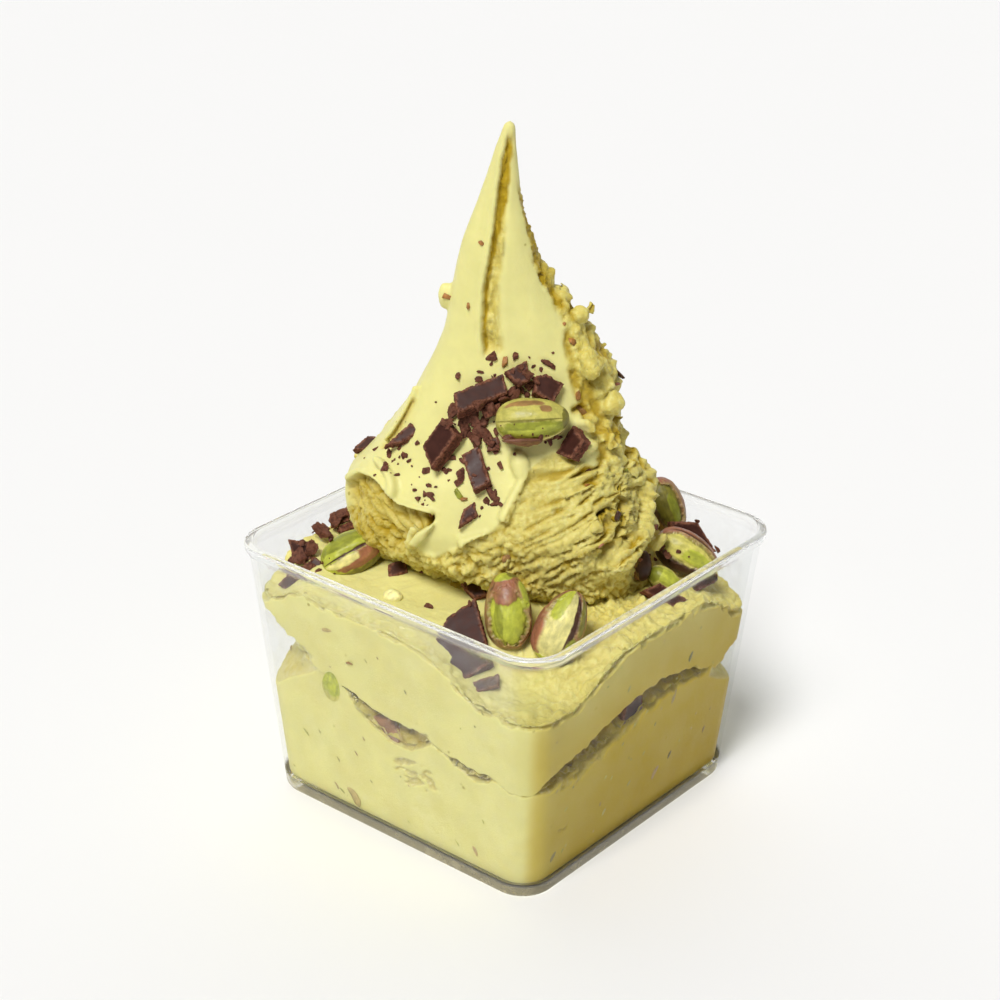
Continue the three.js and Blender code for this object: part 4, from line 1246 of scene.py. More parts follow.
def pull_foot(skin, valleys):
    """The torn foot: ridges drawn out along a line that climbs to the right, from noise that is
    long along that line and short across it, and nubs to the left of them. Painted shade lies in
    the valleys, and outside them the foot is made less torn, so paler: painted light."""
    points, px = skin.points, skin.px
    below, _ = skin.beside(TORN_EDGE)
    foot = step(below, -0.5, 3.5) * (skin.z < 86)
    skin.tear(foot)
    lean = np.radians(27 + 9 * noise(points, 22, 40))
    run = np.cos(lean) * skin.level + np.sin(lean) * skin.rise
    cross = -np.sin(lean) * skin.level + np.cos(lean) * skin.rise
    drawn = np.stack([run, cross, skin.depth], -1)
    ridges = 1.15 - 2.9 * np.abs(noise(drawn, (10.0, 1.45, 3.6), 41))
    fine = 1.0 - 2.6 * np.abs(noise(drawn, (4.6, 0.75, 2.0), 42))
    pull = foot * step(px, *PULLED_FROM) * step(skin.z, 52, 57)
    low = step(skin.py, *LUMPY_FROM)
    patchy = step(layered(points, 8.0, 46, 2), -0.35, 0.35)
    knots = 0.14 + 0.34 * low + 0.22 * patchy * step(px, *KNOTTED_FROM)
    ridged = (0.30 + 0.34 * patchy) * ridges + 0.28 * fine + knots * lumps(points, 2.2, 43, 3)
    nubbly = foot * (1 - pull)
    grainy = ((0.20 + 0.32 * low + 0.14 * patchy) * lumps(points, 1.8, 51, 3)
              + 0.10 * ridges + 0.14 * layered(points, 0.9, 52, 2))
    skin.move += pull * ridged + nubbly * grainy + foot * 0.9 * layered(points, 9.0, 53, 2)
    skin.move -= skin.front * (0.35 * foot * step(below, -0.4, 2.2) + 2.2 * step(57 - skin.z, 0, 7)
                               * step(TUCKED_LEFT_OF - px, 0, 70))
    valleys = np.maximum(valleys, pull * step(-ridged, -0.12, 0.42))
    valleys = np.maximum(valleys, 0.8 * nubbly * step(-grainy, -0.05, 0.30))
    # Painted shade in the valleys, and a patchy darker tone over the foot.
    skin.hollow += foot * (0.06 + 0.10 * patchy) + 0.85 * valleys
    # Painted light: outside its valleys the foot is made less torn, so paler.
    skin.torn *= 1 - 0.3 * foot * (1 - valleys)


def hollow_undercut(skin):
    """The undercut left end, below its lip, with dragged streaks and painted shade under the lip,
    deepest nearest it and in the streaks' valleys.
    """
    under, _ = skin.beside(LOBE_LIP)
    close, _ = skin.beside(UNDERCUT_END)
    bay = (step(under, 0.5, 4.5) * step(close, 0, 6) * step(BAY_BOTTOM - skin.py, 0, 14)
           * skin.front * (1 - step(skin.px, *BAY_RIGHT)))
    cave = bay * step(62 - under, 0, 40)
    streaks = np.stack([0.8 * skin.level + 0.6 * skin.rise, -0.6 * skin.level + 0.8 * skin.rise,
                        skin.depth], -1)
    dragged = lumps(streaks, (1.7, 5.5, 2.6), 61, 3)
    skin.move += -2.3 * cave + bay * (0.50 * dragged + 0.16 * layered(skin.points, 1.0, 62, 2))
    skin.tear(0.7 * bay)
    # Painted shade under the lip, deepest nearest it and in the streaks' valleys.
    skin.hollow += bay * (0.36 + 0.4 * step(-dragged, 0, 0.5) + 0.25 * step(20 - under, 0, 16))


def cut_lines(skin):
    """The fold down the left flank, and the tears, both with painted shade in them."""
    away, along = skin.beside(FLANK_FOLD)
    fold = skin.front * taper(along, 0.12, 0.1) * bump(away, 0.0, 2.0)
    skin.move -= 0.9 * fold
    # Painted shade in the fold.
    skin.hollow += 0.8 * fold
    for line, width, deep in TEARS:
        away, along = skin.beside(line)
        cut = skin.front * bump(away, 0, width) * taper(along, 0.25, 0.25, -0.02)
        skin.move -= deep * cut
        # Painted shade in the tear.
        skin.hollow += min(0.5 + 0.1 * deep, 1.1) * cut
        skin.tear(cut)


def shape_swirl(points, normals, picture):
    """Moves the skin of the lobe by all its details, by slow unevenness, and on the smooth parts
    by faint spatula waves. Returns the points with the torn values and the painted shade for the
    material."""
    skin = LobeSkin(points, normals, picture)
    cut_crease(skin)
    fray_fringe(skin)
    pull_foot(skin, crumble_flank(skin))
    hollow_undercut(skin)
    cut_lines(skin)
    torn = np.clip(skin.torn, 0, 1)
    skin.move += 0.30 * layered(points, 13.0, 71, 2) * step(138 - skin.z, 0, 20)
    skin.move += (1 - torn) * 0.05 * layered(points, (2.5, 2.5, 7.0), 72, 3)
    return points + normals * skin.move[:, None], torn, np.clip(skin.hollow, 0, 1)


# ---- Chocolate ----------------------------------------------------------------------------

WELD = 0.02  # corners of a solid closer than this are one
RIDGE_ANGLE = math.radians(20)  # edges sharper than this are painted pale: partly wear, partly a painted highlight


def flat_axis(mesh):
    """The direction that most of a chunk's area faces: that of its moulded face."""
    areas = np.array([p.area for p in mesh.polygons])
    normals = np.array([p.normal for p in mesh.polygons])
    alike = np.abs(normals @ normals.T) > 0.985
    return normals[np.argmax(alike @ areas)]


def chunk_object(node, name, cell):
    """A broken piece of bar on a CAD chunk, in cells of a given size with its corners kept
    sharp: its moulded faces stay flat, its broken sides are pitted, and its edges crumble."""
    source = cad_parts[node]
    axis = flat_axis(source.data)
    mesh = source.data.copy()
    mesh.materials.clear()
    welded = bmesh.new()
    welded.from_mesh(mesh)
    bmesh.ops.remove_doubles(welded, verts=welded.verts, dist=WELD * MM)
    ridges = [[np.array(v.co) / MM for v in e.verts] for e in welded.edges
              if len(e.link_faces) == 2 and e.calc_face_angle() > RIDGE_ANGLE]
    welded.to_mesh(mesh)
    welded.free()
    obj = bpy.data.objects.new(name, mesh)
    bpy.context.scene.collection.objects.link(obj)
    cells = max(obj.dimensions) / cell
    remesh = obj.modifiers.new("skin", "REMESH")
    remesh.mode = "SHARP"
    remesh.octree_depth = max(4, math.ceil(math.log2(cells / 0.95)))
    remesh.scale = cells / 2 ** remesh.octree_depth
    remesh.use_remove_disconnected = False
    evaluated(obj, name)
    points, normals = read_points(obj.data), read_normals(obj.data)
    broken = 1 - step(np.abs(normals @ axis), 0.80, 0.96)
    near = np.full(len(points), 1e9)
    for a, b in ridges:
        t = np.clip((points - a) @ (b - a) / ((b - a) @ (b - a)), 0, 1)
        near = np.minimum(near, np.linalg.norm(points - a - t[:, None] * (b - a), axis=1))
    seed = sum(map(ord, name))
    # Pale edges: partly wear, partly a painted highlight along the sharp edges.
    edge = bump(near, 0, 0.30) * (0.75 + 0.5 * noise(points, 1.1, seed + 5))
    chip = step(layered(points, 1.0, seed, 2), 0.1, 0.45) * bump(near, 0, 0.40)
    pitted = lumps(points, 1.3, seed + 1, 3) + 0.4 * layered(points, 0.6, seed + 3, 2)
    move = broken * 0.10 * pitted - 0.17 * chip + 0.03 * layered(points, 3, seed + 2, 2)
    write_points(obj.data, points + normals * move[:, None])
    set_values(obj.data, broken=np.clip(broken + 0.7 * chip, 0, 1),
               edge=np.clip(edge + 0.3 * chip, 0, 1))
    return obj


# Small loose pieces: place in the picture, length in millimetres and slenderness.
CHOCOLATE_CHIPS = (
    (492, 357, 2.4, 0.7), (516, 355, 1.7, 0.8), (548, 364, 2.8, 0.5), (533, 366, 0.8, 1),
    (529, 357, 0.5, 1), (553, 353, 0.5, 1), (458, 375, 1.6, 0.8), (480, 372, 1.6, 0.35),
    (479, 379, 2.0, 0.5), (513, 391, 2.2, 0.8), (521, 389, 2.0, 0.7), (527, 396, 1.6, 0.8),
    (476, 423, 2.8, 0.9), (466, 428, 2.8, 0.7), (483, 433, 5.0, 0.35), (496, 452, 1.2, 0.8),
    (500, 465, 1.7, 0.8), (390, 454, 1.5, 0.8), (400, 448, 1.1, 0.8), (404, 456, 1.6, 0.7),
    (409, 461, 1.0, 0.8), (385, 464, 1.3, 0.7), (418, 443, 1.1, 0.9), (426, 470, 1.7, 0.8),
    (415, 490, 1.1, 0.8), (418, 499, 1.3, 0.8), (425, 494, 1.2, 0.9), (430, 495, 1.8, 0.7),
    (461, 474, 2.4, 0.8), (459, 482, 1.6, 0.8), (491, 493, 2.6, 0.8), (496, 500, 2.0, 0.8),
    (487, 500, 1.4, 0.8), (482, 508, 0.7, 1), (480, 516, 0.5, 1), (422, 571, 1.3, 0.7),
    (429, 607, 1.9, 0.7), (498, 447, 0.9, 0.8), (393, 461, 0.6, 1), (398, 464, 0.5, 1),
    (412, 466, 0.5, 1), (436, 487, 0.6, 1), (452, 458, 1.5, 0.7), (462, 461, 1.2, 0.7),
    (520, 369, 2.0, 0.6), (528, 375, 2.2, 0.7), (536, 381, 1.8, 0.7), (476, 440, 2.2, 0.6),
    (489, 441, 1.8, 0.7), (497, 431, 1.6, 0.8), (376, 449, 1.2, 0.7), (540, 438, 2.0, 0.7),
    (549, 441, 2.0, 0.6), (556, 436, 1.6, 0.7), (588, 470, 1.4, 0.6), (312, 566, 1.8, 0.7),
    (303, 573, 1.6, 0.6), (318, 571, 1.4, 0.8), (331, 541, 1.8, 0.6), (339, 530, 1.6, 0.7),
    (314, 532, 1.2, 0.5), (484, 655, 1.8, 0.7), (478, 648, 1.5, 0.7), (489, 661, 1.3, 0.8),
    (470, 604, 1.4, 0.7), (697, 522, 1.6, 0.7), (716, 549, 1.8, 0.6), (722, 559, 1.2, 0.7),
    (455, 410, 3.6, 0.7), (469, 416, 4.2, 0.8), (478, 404, 3.4, 0.6), (490, 410, 3.2, 0.7),
    (464, 428, 3.4, 0.8), (477, 440, 3.6, 0.7), (491, 442, 2.8, 0.6), (516, 394, 3.2, 0.8),
    (504, 398, 2.6, 0.7), (447, 424, 2.6, 0.8), (484, 424, 2.6, 0.8), (531, 386, 2.4, 0.7),
    (300, 557, 4.2, 0.7), (311, 549, 3.8, 0.6), (322, 531, 3.8, 0.6), (337, 519, 4.4, 0.6),
    (345, 514, 3.2, 0.6), (305, 571, 3.2, 0.7), (293, 561, 3.2, 0.7), (330, 538, 3.0, 0.6),
    (661, 548, 2.2, 0.6), (668, 556, 2.4, 0.6), (655, 527, 1.8, 0.7), (436, 402, 0.5, 1),
)
NUT_BITS = (
    (505, 362, 2.0, 0.6, "amber"), (468, 306, 1.2, 0.8, "amber"), (481, 243, 1.2, 0.7, "amber"),
    (446, 296, 2.6, 0.35, "amber"), (564, 324, 0.9, 0.8, "amber"), (572, 341, 1.7, 0.8, "amber"),
    (577, 395, 2.0, 0.8, "amber"), (582, 411, 4.0, 0.4, "husk"), (587, 486, 1.1, 0.8, "amber"),
    (506, 558, 2.2, 0.6, "husk"), (522, 440, 7.0, 0.4, "rust"), (508, 437, 2.8, 0.5, "rust"),
    (459, 494, 2.8, 0.4, "green"), (463, 499, 1.6, 0.5, "amber"), (618, 515, 2.4, 0.6, "dark"),
    (393, 598, 4.4, 0.8, "ivory"), (619, 375, 2.6, 0.4, "dark"), (617, 384, 1.6, 0.5, "skin"),
    (626, 470, 1.4, 0.5, "green"), (350, 663, 1.6, 0.5, "husk"), (431, 515, 1.2, 0.8, "amber"),
    (601, 545, 1.6, 0.4, "skin"), (640, 560, 2.0, 0.5, "skin"),
)


# Fine crumbs lie round these places: middle, spread across and down, and how many.
CRUMB_CLUSTERS = ((500, 425, 26, 12, 22), (520, 372, 22, 7, 10), (455, 478, 18, 8, 10),
                  (488, 500, 7, 7, 8), (398, 462, 14, 7, 12), (425, 492, 10, 7, 9),
                  (548, 436, 14, 5, 8), (318, 560, 18, 10, 12), (668, 552, 12, 6, 8))


def crumb_places(rng):
    """Random small chips round the places in CRUMB_CLUSTERS."""
    return [(rng.normal(px, across), rng.normal(py, down), 0.35 + 1.1 * rng.random() ** 2, 0.8)
            for px, py, across, down, count in CRUMB_CLUSTERS for _ in range(count)]


def chip_shell(ground, px, py, length, slim, seed):
    """A chip: the solid cut out by flat planes at random directions and distances, laid on the
    surface and turned at random. Its reach in a direction is the least of the planes'."""
    at, normal = ground.at(px, py)
    rng = np.random.default_rng(seed)
    u = np.linspace(0, 2 * math.pi, 26, endpoint=False)[None]
    v = np.linspace(0, math.pi, 17)[:, None]
    d = np.stack([np.sin(v) * np.cos(u), np.sin(v) * np.sin(u), -np.cos(v) + 0 * u], -1)
    planes = rng.normal(size=(7, 3))
    planes /= np.linalg.norm(planes, axis=1)[:, None]
    planes = np.vstack([planes, -planes.mean(0) / np.linalg.norm(planes.mean(0)), np.eye(3),
                        -np.eye(3)])
    far = np.concatenate([rng.uniform(0.42, 0.85, len(planes) - 6), np.ones(6)])
    r = 1 / np.maximum((d @ planes.T) / far, 1e-6).max(-1)
    r = r * (1 + 0.14 * noise(d, 0.35, seed))
    sizes = 0.55 * length * np.array([1, max(slim, 0.45), max(0.75 * slim, 0.3)])
    local = d * r[..., None] * sizes
    spin = rng.uniform(0, 2 * math.pi) if slim > 0.5 else rng.uniform(-0.6, 0.6)
    side = np.cross(normal, (0.3, 0.2, 1.0))
    side /= np.linalg.norm(side)
    ahead = np.cross(normal, side)
    x_axis = math.cos(spin) * side + math.sin(spin) * ahead
    y_axis = np.cross(normal, x_axis)
    tilt = rng.uniform(-0.35, 0.35)
    z_axis = normal * math.cos(tilt) + y_axis * math.sin(tilt)
    y_axis = np.cross(z_axis, x_axis)
    grid = at + normal * sizes[2] * 0.35 + local @ np.stack([x_axis, y_axis, z_axis])
    return shell(grid)


# ---- Kernels ------------------------------------------------------------------------------

KERNEL_LONG, KERNEL_WIDE, KERNEL_THICK = 14.8, 9.2, 8.6
SKIN_CHIP_CELL = 0.00025
THICK_SKIN = 0.2
OPENING_EDGE, PATCH_EDGE = 0.05, 0.22  # how soft an opening's and a painted patch's outline is
# Name, place and long axis in across, toward and height, size, base colour and painted patches:
# middle and half length along (-1 to 1), middle and half width round in degrees (0 faces the
# camera), colour and how far it stands out in millimetres. Later patches cover earlier ones; a
# patch that is sunk more than THICK_SKIN is an opening in the skin, with a curled pale rim and a
# painted shadow line in the groove inside it.
KERNELS = (
    ("front_left", (0.2, 26.5, 53.3), (-0.09, -0.45, 0.89), 1.0, "shell", (
        (-0.14, 0.80, -3, 58, "lime", -0.5), (-0.25, 0.45, -30, 13, "green", -0.19),
        (0.52, 0.36, -6, 40, "skin", -0.1),
        (0.40, 0.36, 58, 15, "lime", 0.28), (0.95, 0.16, -20, 60, "lime", 0.0),
        (1.0, 0.14, 60, 50, "olive", 0.05))),
    ("front_right", (10.5, 29.5, 51.7), (0.38, -0.3, 0.87), 1.0, "shell", (
        (0.0, 1.05, -8, 54, "cream", -0.4), (0.66, 0.52, -34, 27, "lime", -0.19),
        (-0.28, 0.62, -70, 24, "skin", 0.35), (0.02, 1.0, 37, 9, "dark", -0.18),
        (-0.62, 0.5, 54, 24, "green", 0.1), (-0.98, 0.14, 0, 120, "lime", 0.0),
        (0.5, 0.5, 56, 11, "olive", 0.3))),
    ("left", (-30.8, 2, 53.2), (0.86, -0.3, 0.4), 0.97, "lime", (
        (-0.1, 0.8, -52, 26, "green", 0.0), (0.0, 0.97, -6, 4, "dark", -0.1),
        (0.12, 0.92, 22, 25, "skin", 0.12), (-0.45, 0.55, 12, 12, "cream", 0.1),
        (-0.1, 1.2, 76, 32, "olive", 0.1), (0.95, 0.24, 10, 80, "dark", 0.1),
        (0.0, 2.0, 180, 72, "shell", 0.2))),
    ("on_swirl", (4.3, 11.4, 86.9), (1, 0, 0.08), 0.96, "pale", (
        (0.0, 0.95, 36, 33, "green", -0.12), (-0.25, 0.5, 40, 13, "lime", -0.08),
        (0.35, 0.3, 28, 9, "lime", -0.08), (0.0, 1.0, 2, 3, "olive", -0.12),
        (0.38, 0.16, -34, 13, "husk", 0.0), (0.95, 0.14, 0, 90, "olive", 0.0),
        (-0.2, 0.5, -52, 12, "husk", 0.0),
        (0.0, 1.1, 74, 6, "cream", 0.1), (-0.1, 1.1, 112, 34, "rust", 0.3),
        (0.0, 1.5, 170, 40, "dark", 0.1))),
    ("back_right", (32.8, -15.6, 55.6), (0.4, 0.25, -0.88), 0.9, "shell", (
        (-0.05, 0.85, -14, 42, "olive", -0.4), (0.1, 0.6, -30, 14, "green", -0.19))),
    ("right", (36.5, -1, 52.5), (0.88, 0.2, -0.43), 0.94, "shell", (
        (0.0, 0.98, -2, 42, "pale", -0.4), (0.3, 0.5, 4, 24, "lime", -0.19),
        (0.0, 1.0, 66, 30, "dark", 0.25), (0.0, 0.9, -56, 4, "dark", -0.2))),
    ("low_right", (27, 6, 53), (0.12, -0.3, 0.95), 0.42, "shell", (
        (0.0, 1.0, 30, 60, "dark", 0.1),)),
    ("half_right", (31.9, 6, 49.8), (0.85, 0.2, -0.49), 0.52, "pale", (
        (0.0, 1.0, -20, 40, "lime", 0.0), (-0.8, 0.4, 0, 60, "green", 0.0))),
    ("in_layer", (-33.7, 16.9, 31.8), (0.17, 0, 0.99), 0.62, "pale", (
        (0.2, 0.9, -30, 70, "lime", 0.0), (0.9, 0.4, -40, 60, "green", 0.0))),
)


def world_vector(across, toward, up):
    """A direction in x, y and z from one in the lobe's axes."""
    x, y = plan_xy(across, toward)
    return np.array([x, y, up], float)


def kernel_axes(at, axis, picture):
    """A kernel's directions square to its long axis: to the camera and to the side, and the thin
    and the broad one of its oval."""
    view = picture.eye - at
    face = view - (view @ axis) * axis
    face /= np.linalg.norm(face)
    thin = np.cross(axis, world_vector(1, 0.3, 0))
    thin /= np.linalg.norm(thin)
    return face, np.cross(axis, face), thin, np.cross(thin, axis)


def painted(colour, tone, share):
    """A colour moved by a share towards a tone."""
    return colour + share[..., None] * (tone - colour)


def kernel_tones(unit, streak, seed, palette):
    """The palette over a kernel's directions, with the shell's and the skin's own streaks."""
    tones = {name: np.broadcast_to(c, unit.shape) for name, c in palette.items()}
    mottle = layered(unit * (1, 1, 0.5), 0.8, seed + 3, 2)
    hide = painted(tones["husk"], tones["skin"], step(mottle, -0.25, 0.3))
    hide = painted(hide, tones["olive"], 0.5 * step(streak, 0.2, 0.65))
    tones["shell"] = painted(hide, tones["dark"], 0.65 * step(-streak, 0.4, 0.85))
    tones["skin"] = painted(tones["skin"], tones["husk"], 0.6 * step(streak, 0.0, 0.7))
    tones["pale"] = (0.45 * tones["lime"] + 0.5 * tones["cream"]) * (1, 0.95, 0.8)
    return tones


def kernel_surface(spec, picture, palette):
    """A kernel: an egg round its long axis, blunter at one end, with uneven sides. Painted
    patches have ragged outlines, from noise added to an ellipse in length and angle, and raise
    the surface by their own thickness."""
    name, at, axis, size, base, patches = spec
    seed = sum(map(ord, name))
    at, axis = world_vector(*at), world_vector(*axis)
    axis /= np.linalg.norm(axis)
    face, side, thin, broad = kernel_axes(at, axis, picture)
    u = np.linspace(0, 2 * math.pi, 150, endpoint=False)[None]
    v = np.linspace(0, math.pi, 121)[:, None]
    bulk = np.sin(v) ** 0.86 * (1 + 0.14 * np.cos(v))
    around = np.cos(u)[..., None] * face + np.sin(u)[..., None] * side
    reach = 1 / np.sqrt(((around @ broad) / (KERNEL_WIDE / 2)) ** 2
                        + ((around @ thin) / (KERNEL_THICK / 2)) ** 2)
    along = -np.cos(v) + 0 * u
    unit = np.stack([bulk * np.cos(u), bulk * np.sin(u), along], -1)
    streak = layered(unit * (1, 1, 0.35), 0.45, seed, 4, 0.6)
    tones = kernel_tones(unit, streak, seed, palette)
    colour = tones[base] * (1 + 0.16 * streak[..., None])
    raised = 0.12 * layered(unit, 0.55, seed + 1, 3) + 0.12 * noise(unit * (1, 1, 0.3), 0.25, 7)
    for k, (middle, half, turned, half_turn, tone, out) in enumerate(patches):
        turn = (np.degrees(u) - turned + 180) % 360 - 180
        ragged = 0.42 * layered(unit, 0.42, seed + 17 * k + 2, 4, 0.62)
        inside = (1 - np.abs((along - middle) / half) ** 3 - np.abs(turn / half_turn) ** 2.2
                  + ragged)
        soft = OPENING_EDGE if out < -THICK_SKIN else PATCH_EDGE
        cover = step(inside, -soft, soft + 0.04)
        shade = 1 + 0.26 * layered(unit * (1, 1, 0.4), 0.35, seed + 31 * k, 4, 0.6)
        colour = painted(colour, tones[tone] * shade[..., None], cover)
        raised = raised * (1 - 0.6 * cover) + out * cover * (1 + 0.4 * ragged)
        if out < -THICK_SKIN:
            curl = bump(inside, -0.14, 0.08) * step(streak, -0.7, 0.5)
            groove = bump(inside, 0.08, 0.10)
            colour = painted(colour, 0.85 * palette["cream"], 0.6 * curl)
            # Painted shadow: a dark line in the groove inside the rim.
            colour = painted(colour, palette["dark"], 0.5 * groove)
            raised = raised + 0.22 * curl - 0.15 * groove
        elif out > THICK_SKIN:
            colour = painted(colour, 0.8 * palette["cream"], 0.25 * bump(inside, 0.05, 0.08))
    tips = step(bulk, 0.0, 0.35)
    radial = size * reach * bulk + raised * tips * min(1.0, size)
    grid = at + radial[..., None] * around
    grid = grid + (size * KERNEL_LONG / 2 * along)[..., None] * axis
    return grid, np.clip(colour, 0.005, 1)


# Flecks seen at the front walls: along the walls from the front corner, height, length, lean in
# degrees (90 is upright) and colour.
FLECKS = (
    (-46.5, 6.6, 7.6, -52, "husk"), (-50.6, 6.4, 2.2, -52, "husk"), (-49.0, 5.6, 1.8, -30, "green"),
    (-13.5, 7.0, 3.0, -62, "skin"), (-18.0, 6.6, 1.6, -50, "green"), (-62.5, 36.0, 1.6, 80, "husk"),
    (-59.0, 16.5, 2.2, -40, "green"), (-50.0, 13.4, 1.6, -55, "olive"),
    (-33.2, 26.6, 3.0, -60, "husk"), (-52.5, 44.2, 3.0, 15, "husk"),
    (-66.0, 24.0, 3.2, -50, "husk"), (-45.0, 17.0, 1.4, -50, "skin"),
    (41.5, 11.6, 4.6, 48, "skin"), (46.0, 13.4, 2.4, 55, "dark"), (8.0, 7.6, 3.2, 50, "dark"),
    (30.0, 37.5, 1.8, 60, "olive"), (51.0, 36.0, 3.2, 62, "olive"), (46.0, 28.0, 3.4, 60, "husk"),
    (24.0, 10.0, 2.0, 50, "olive"), (32.0, 13.0, 1.6, 40, "olive"), (58.0, 14.0, 2.0, 60, "skin"),
)


def nut_bit(ground, palette, k, px, py, length, slim, tone):
    """A chip of nut and its tints; the ivory one is a smooth lump."""
    points, faces = chip_shell(ground, px, py, length, slim, 300 + k)
    if tone == "ivory":
        at, normal = ground.at(px, py)
        points, faces = blob(at + 0.3 * normal, 0.5 * length, k, (0.9, 0.8, 0.62), 0.1, 30, 20)
    return (points, faces), palette[tone] * (1 + 0.35 * layered(points, 0.9, k, 3))[:, None]


def fleck_shells(palette):
    """Slivers of nut in the gelato's face at the front walls, with their tints: flattened
    spindles that lie in the face and stand a hair out of it, the drawn ones and then fine ones
    at random."""
    made = []
    rng = np.random.default_rng(21)
    fine = [(rng.uniform(-68, 66), rng.uniform(5, 44), rng.uniform(0.5, 1.3),
             rng.uniform(30, 65), rng.choice(["olive", "green", "husk"])) for _ in range(60)]
    for k, (s, z, length, lean, tone) in enumerate(list(FLECKS) + fine):
        if k >= len(FLECKS) and s < 0:
            lean = -lean
        reach = float(wall_half(z)) - WALL + INTO_WALL
        if abs(s) < 7 or reach * 2 - 9 < abs(s):
            continue
        at, along = ((s + reach, -reach, z), (1, 0)) if s < 0 else ((reach, s - reach, z), (0, 1))
        out = np.array([0.0, -1.0, 0.0]) if s < 0 else np.array([1.0, 0.0, 0.0])
        a = math.radians(lean)
        ahead = np.array([along[0] * math.cos(a), along[1] * math.cos(a), math.sin(a)])
        side = np.cross(out, ahead)
        u = np.linspace(0, 2 * math.pi, 8, endpoint=False)[None]
        v = np.linspace(0, math.pi, 9)[:, None]
        bend = 0.25 * length * 0.2 * np.sin(v)
        wide = max(0.16 * length, 0.22) * (1 + 0.4 * noise(np.stack(
            [v[:, 0], 0 * v[:, 0], 0 * v[:, 0]], -1), 0.7, k))[:, None]
        grid = (np.array(at) + (np.sin(v) * np.cos(u) * wide + bend)[..., None] * side
                + (-0.5 * length * np.cos(v) + 0 * u)[..., None] * ahead
                + (0.07 * np.sin(v) * np.sin(u))[..., None] * out)
        pale = 0.6 * palette[tone] + 0.4 * palette["cream"]
        tint = np.clip(pale * (1 + 0.2 * rng.normal()), 0.02, 1)
        made.append((shell(grid), tint + 0 * flat(grid)))
    return made


def kernel_palette(settings):
    """The colours of kernels and nut bits by name: the settings' own, and mixtures of them."""
    names = ("lime", "green", "cream", "skin", "husk", "dark", "amber")
    palette = {name: np.array(getattr(settings, name)) for name in names}
    palette["olive"] = 0.5 * palette["green"] + 0.2 * palette["husk"]
    palette["ivory"] = 1.15 * palette["cream"] + 0.08
    palette["rust"] = 0.5 * palette["skin"] + 0.35 * palette["dark"]
    return palette


# ---- Operators ----------------------------------------------------------------------------

# The studio floor's reach each way, and how far it lies under the foot.
FLOOR_REACH, FLOOR_DROP = 6000.0, 0.15


class GELATOCUP_OT_stage(Operator):
    """Camera at the photograph's angle, a pale floor and soft studio light"""
    bl_idname = "gelatocup.stage"
    bl_label = "Stage"

    def execute(self, context):
        s = context.scene.gelato_cup_stage
        picture = Picture(s)
        data = bpy.data.cameras.new("camera")
        data.sensor_width, data.lens = 36, s.lens
        data.clip_start, data.clip_end = 0.01, 20
        camera = bpy.data.objects.new("camera", data)
        context.scene.collection.objects.link(camera)
        turn = Matrix(np.column_stack([picture.right, picture.up, picture.back]).tolist())
        camera.matrix_world = Matrix.Translation(Vector(picture.eye * MM)) @ turn.to_4x4()
        context.scene.camera = camera
        floor = new_object("studio_floor", [
            (FLOOR_REACH * x, FLOOR_REACH * y, -FLOOR_DROP)
            for x, y in ((-1, -1), (1, -1), (1, 1), (-1, 1))], [(0, 1, 2, 3)])
        floor.data.materials.append(material("studio_floor"))
        floor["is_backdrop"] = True
        light = bpy.data.lights.new("key", "SUN")
        light.energy, light.angle = s.key, s.key_softness
        light.color = (1.0, 0.992, 0.975)
        lamp = bpy.data.objects.new("key", light)
        context.scene.collection.objects.link(lamp)
        a, e = s.key_azimuth, s.key_elevation
        beam = Vector((-math.sin(a) * math.cos(e), math.cos(a) * math.cos(e), -math.sin(e)))
        lamp.matrix_world = beam.to_track_quat("-Z", "Y").to_matrix().to_4x4()
        context.scene.world = studio_world(s)
        context.scene.view_settings.view_transform = "Standard"
        return {"FINISHED"}


class GELATOCUP_OT_cup(Operator):
    """The clear cup with its rim bead"""
    bl_idname = "gelatocup.cup"
    bl_label = "Cup"

    def execute(self, context):
        obj = new_object("clear_cup", *cup_shell())
        finish_piece(obj, "cup_plastic", ["cup"])
        return {"FINISHED"}


class GELATOCUP_OT_layers(Operator):
    """The two layers of gelato in the cup"""
    bl_idname = "gelatocup.layers"
    bl_label = "Layers"

    def execute(self, context):
        for name, make, node in (("lower_layer", lower_layer, "gelato_lower"),
                                 ("upper_layer", upper_layer, "gelato_upper")):
            grid, torn, hollow, pressed = make()
            obj = new_object(name, *shell(grid))
            set_values(obj.data, torn=flat(torn), hollow=flat(hollow), pressed=flat(pressed))
            finish_piece(obj, "pistachio_gelato", [node])
        return {"FINISHED"}


class GELATOCUP_OT_swirl(Operator):
    """The lobe that is pulled up into a peak"""
    bl_idname = "gelatocup.swirl"
    bl_label = "Lobe and peak"

    def execute(self, context):
        picture = Picture(context.scene.gelato_cup_stage)
        base = swirl_grid()
        body = shell(base)
        ground = Ground(picture, [body])
        parts = [body] + swirl_nubs(base, np.random.default_rng(7))
        for places, wide, high, lift in CURLS:
            path, normals = ground.path(places, lift)
            parts.append(tube(path, normals, wide, high))
        obj = new_object("lobe_and_peak", *join(parts))
        fuse(obj, context.scene.gelato_cup_gelato.voxel, 3)
        points, torn, hollow = shape_swirl(read_points(obj.data), read_normals(obj.data),
                                           picture)
        write_points(obj.data, points)
        set_values(obj.data, torn=torn, hollow=hollow)
        finish_piece(obj, "pistachio_gelato", ["gelato_swirl"])
        return {"FINISHED"}


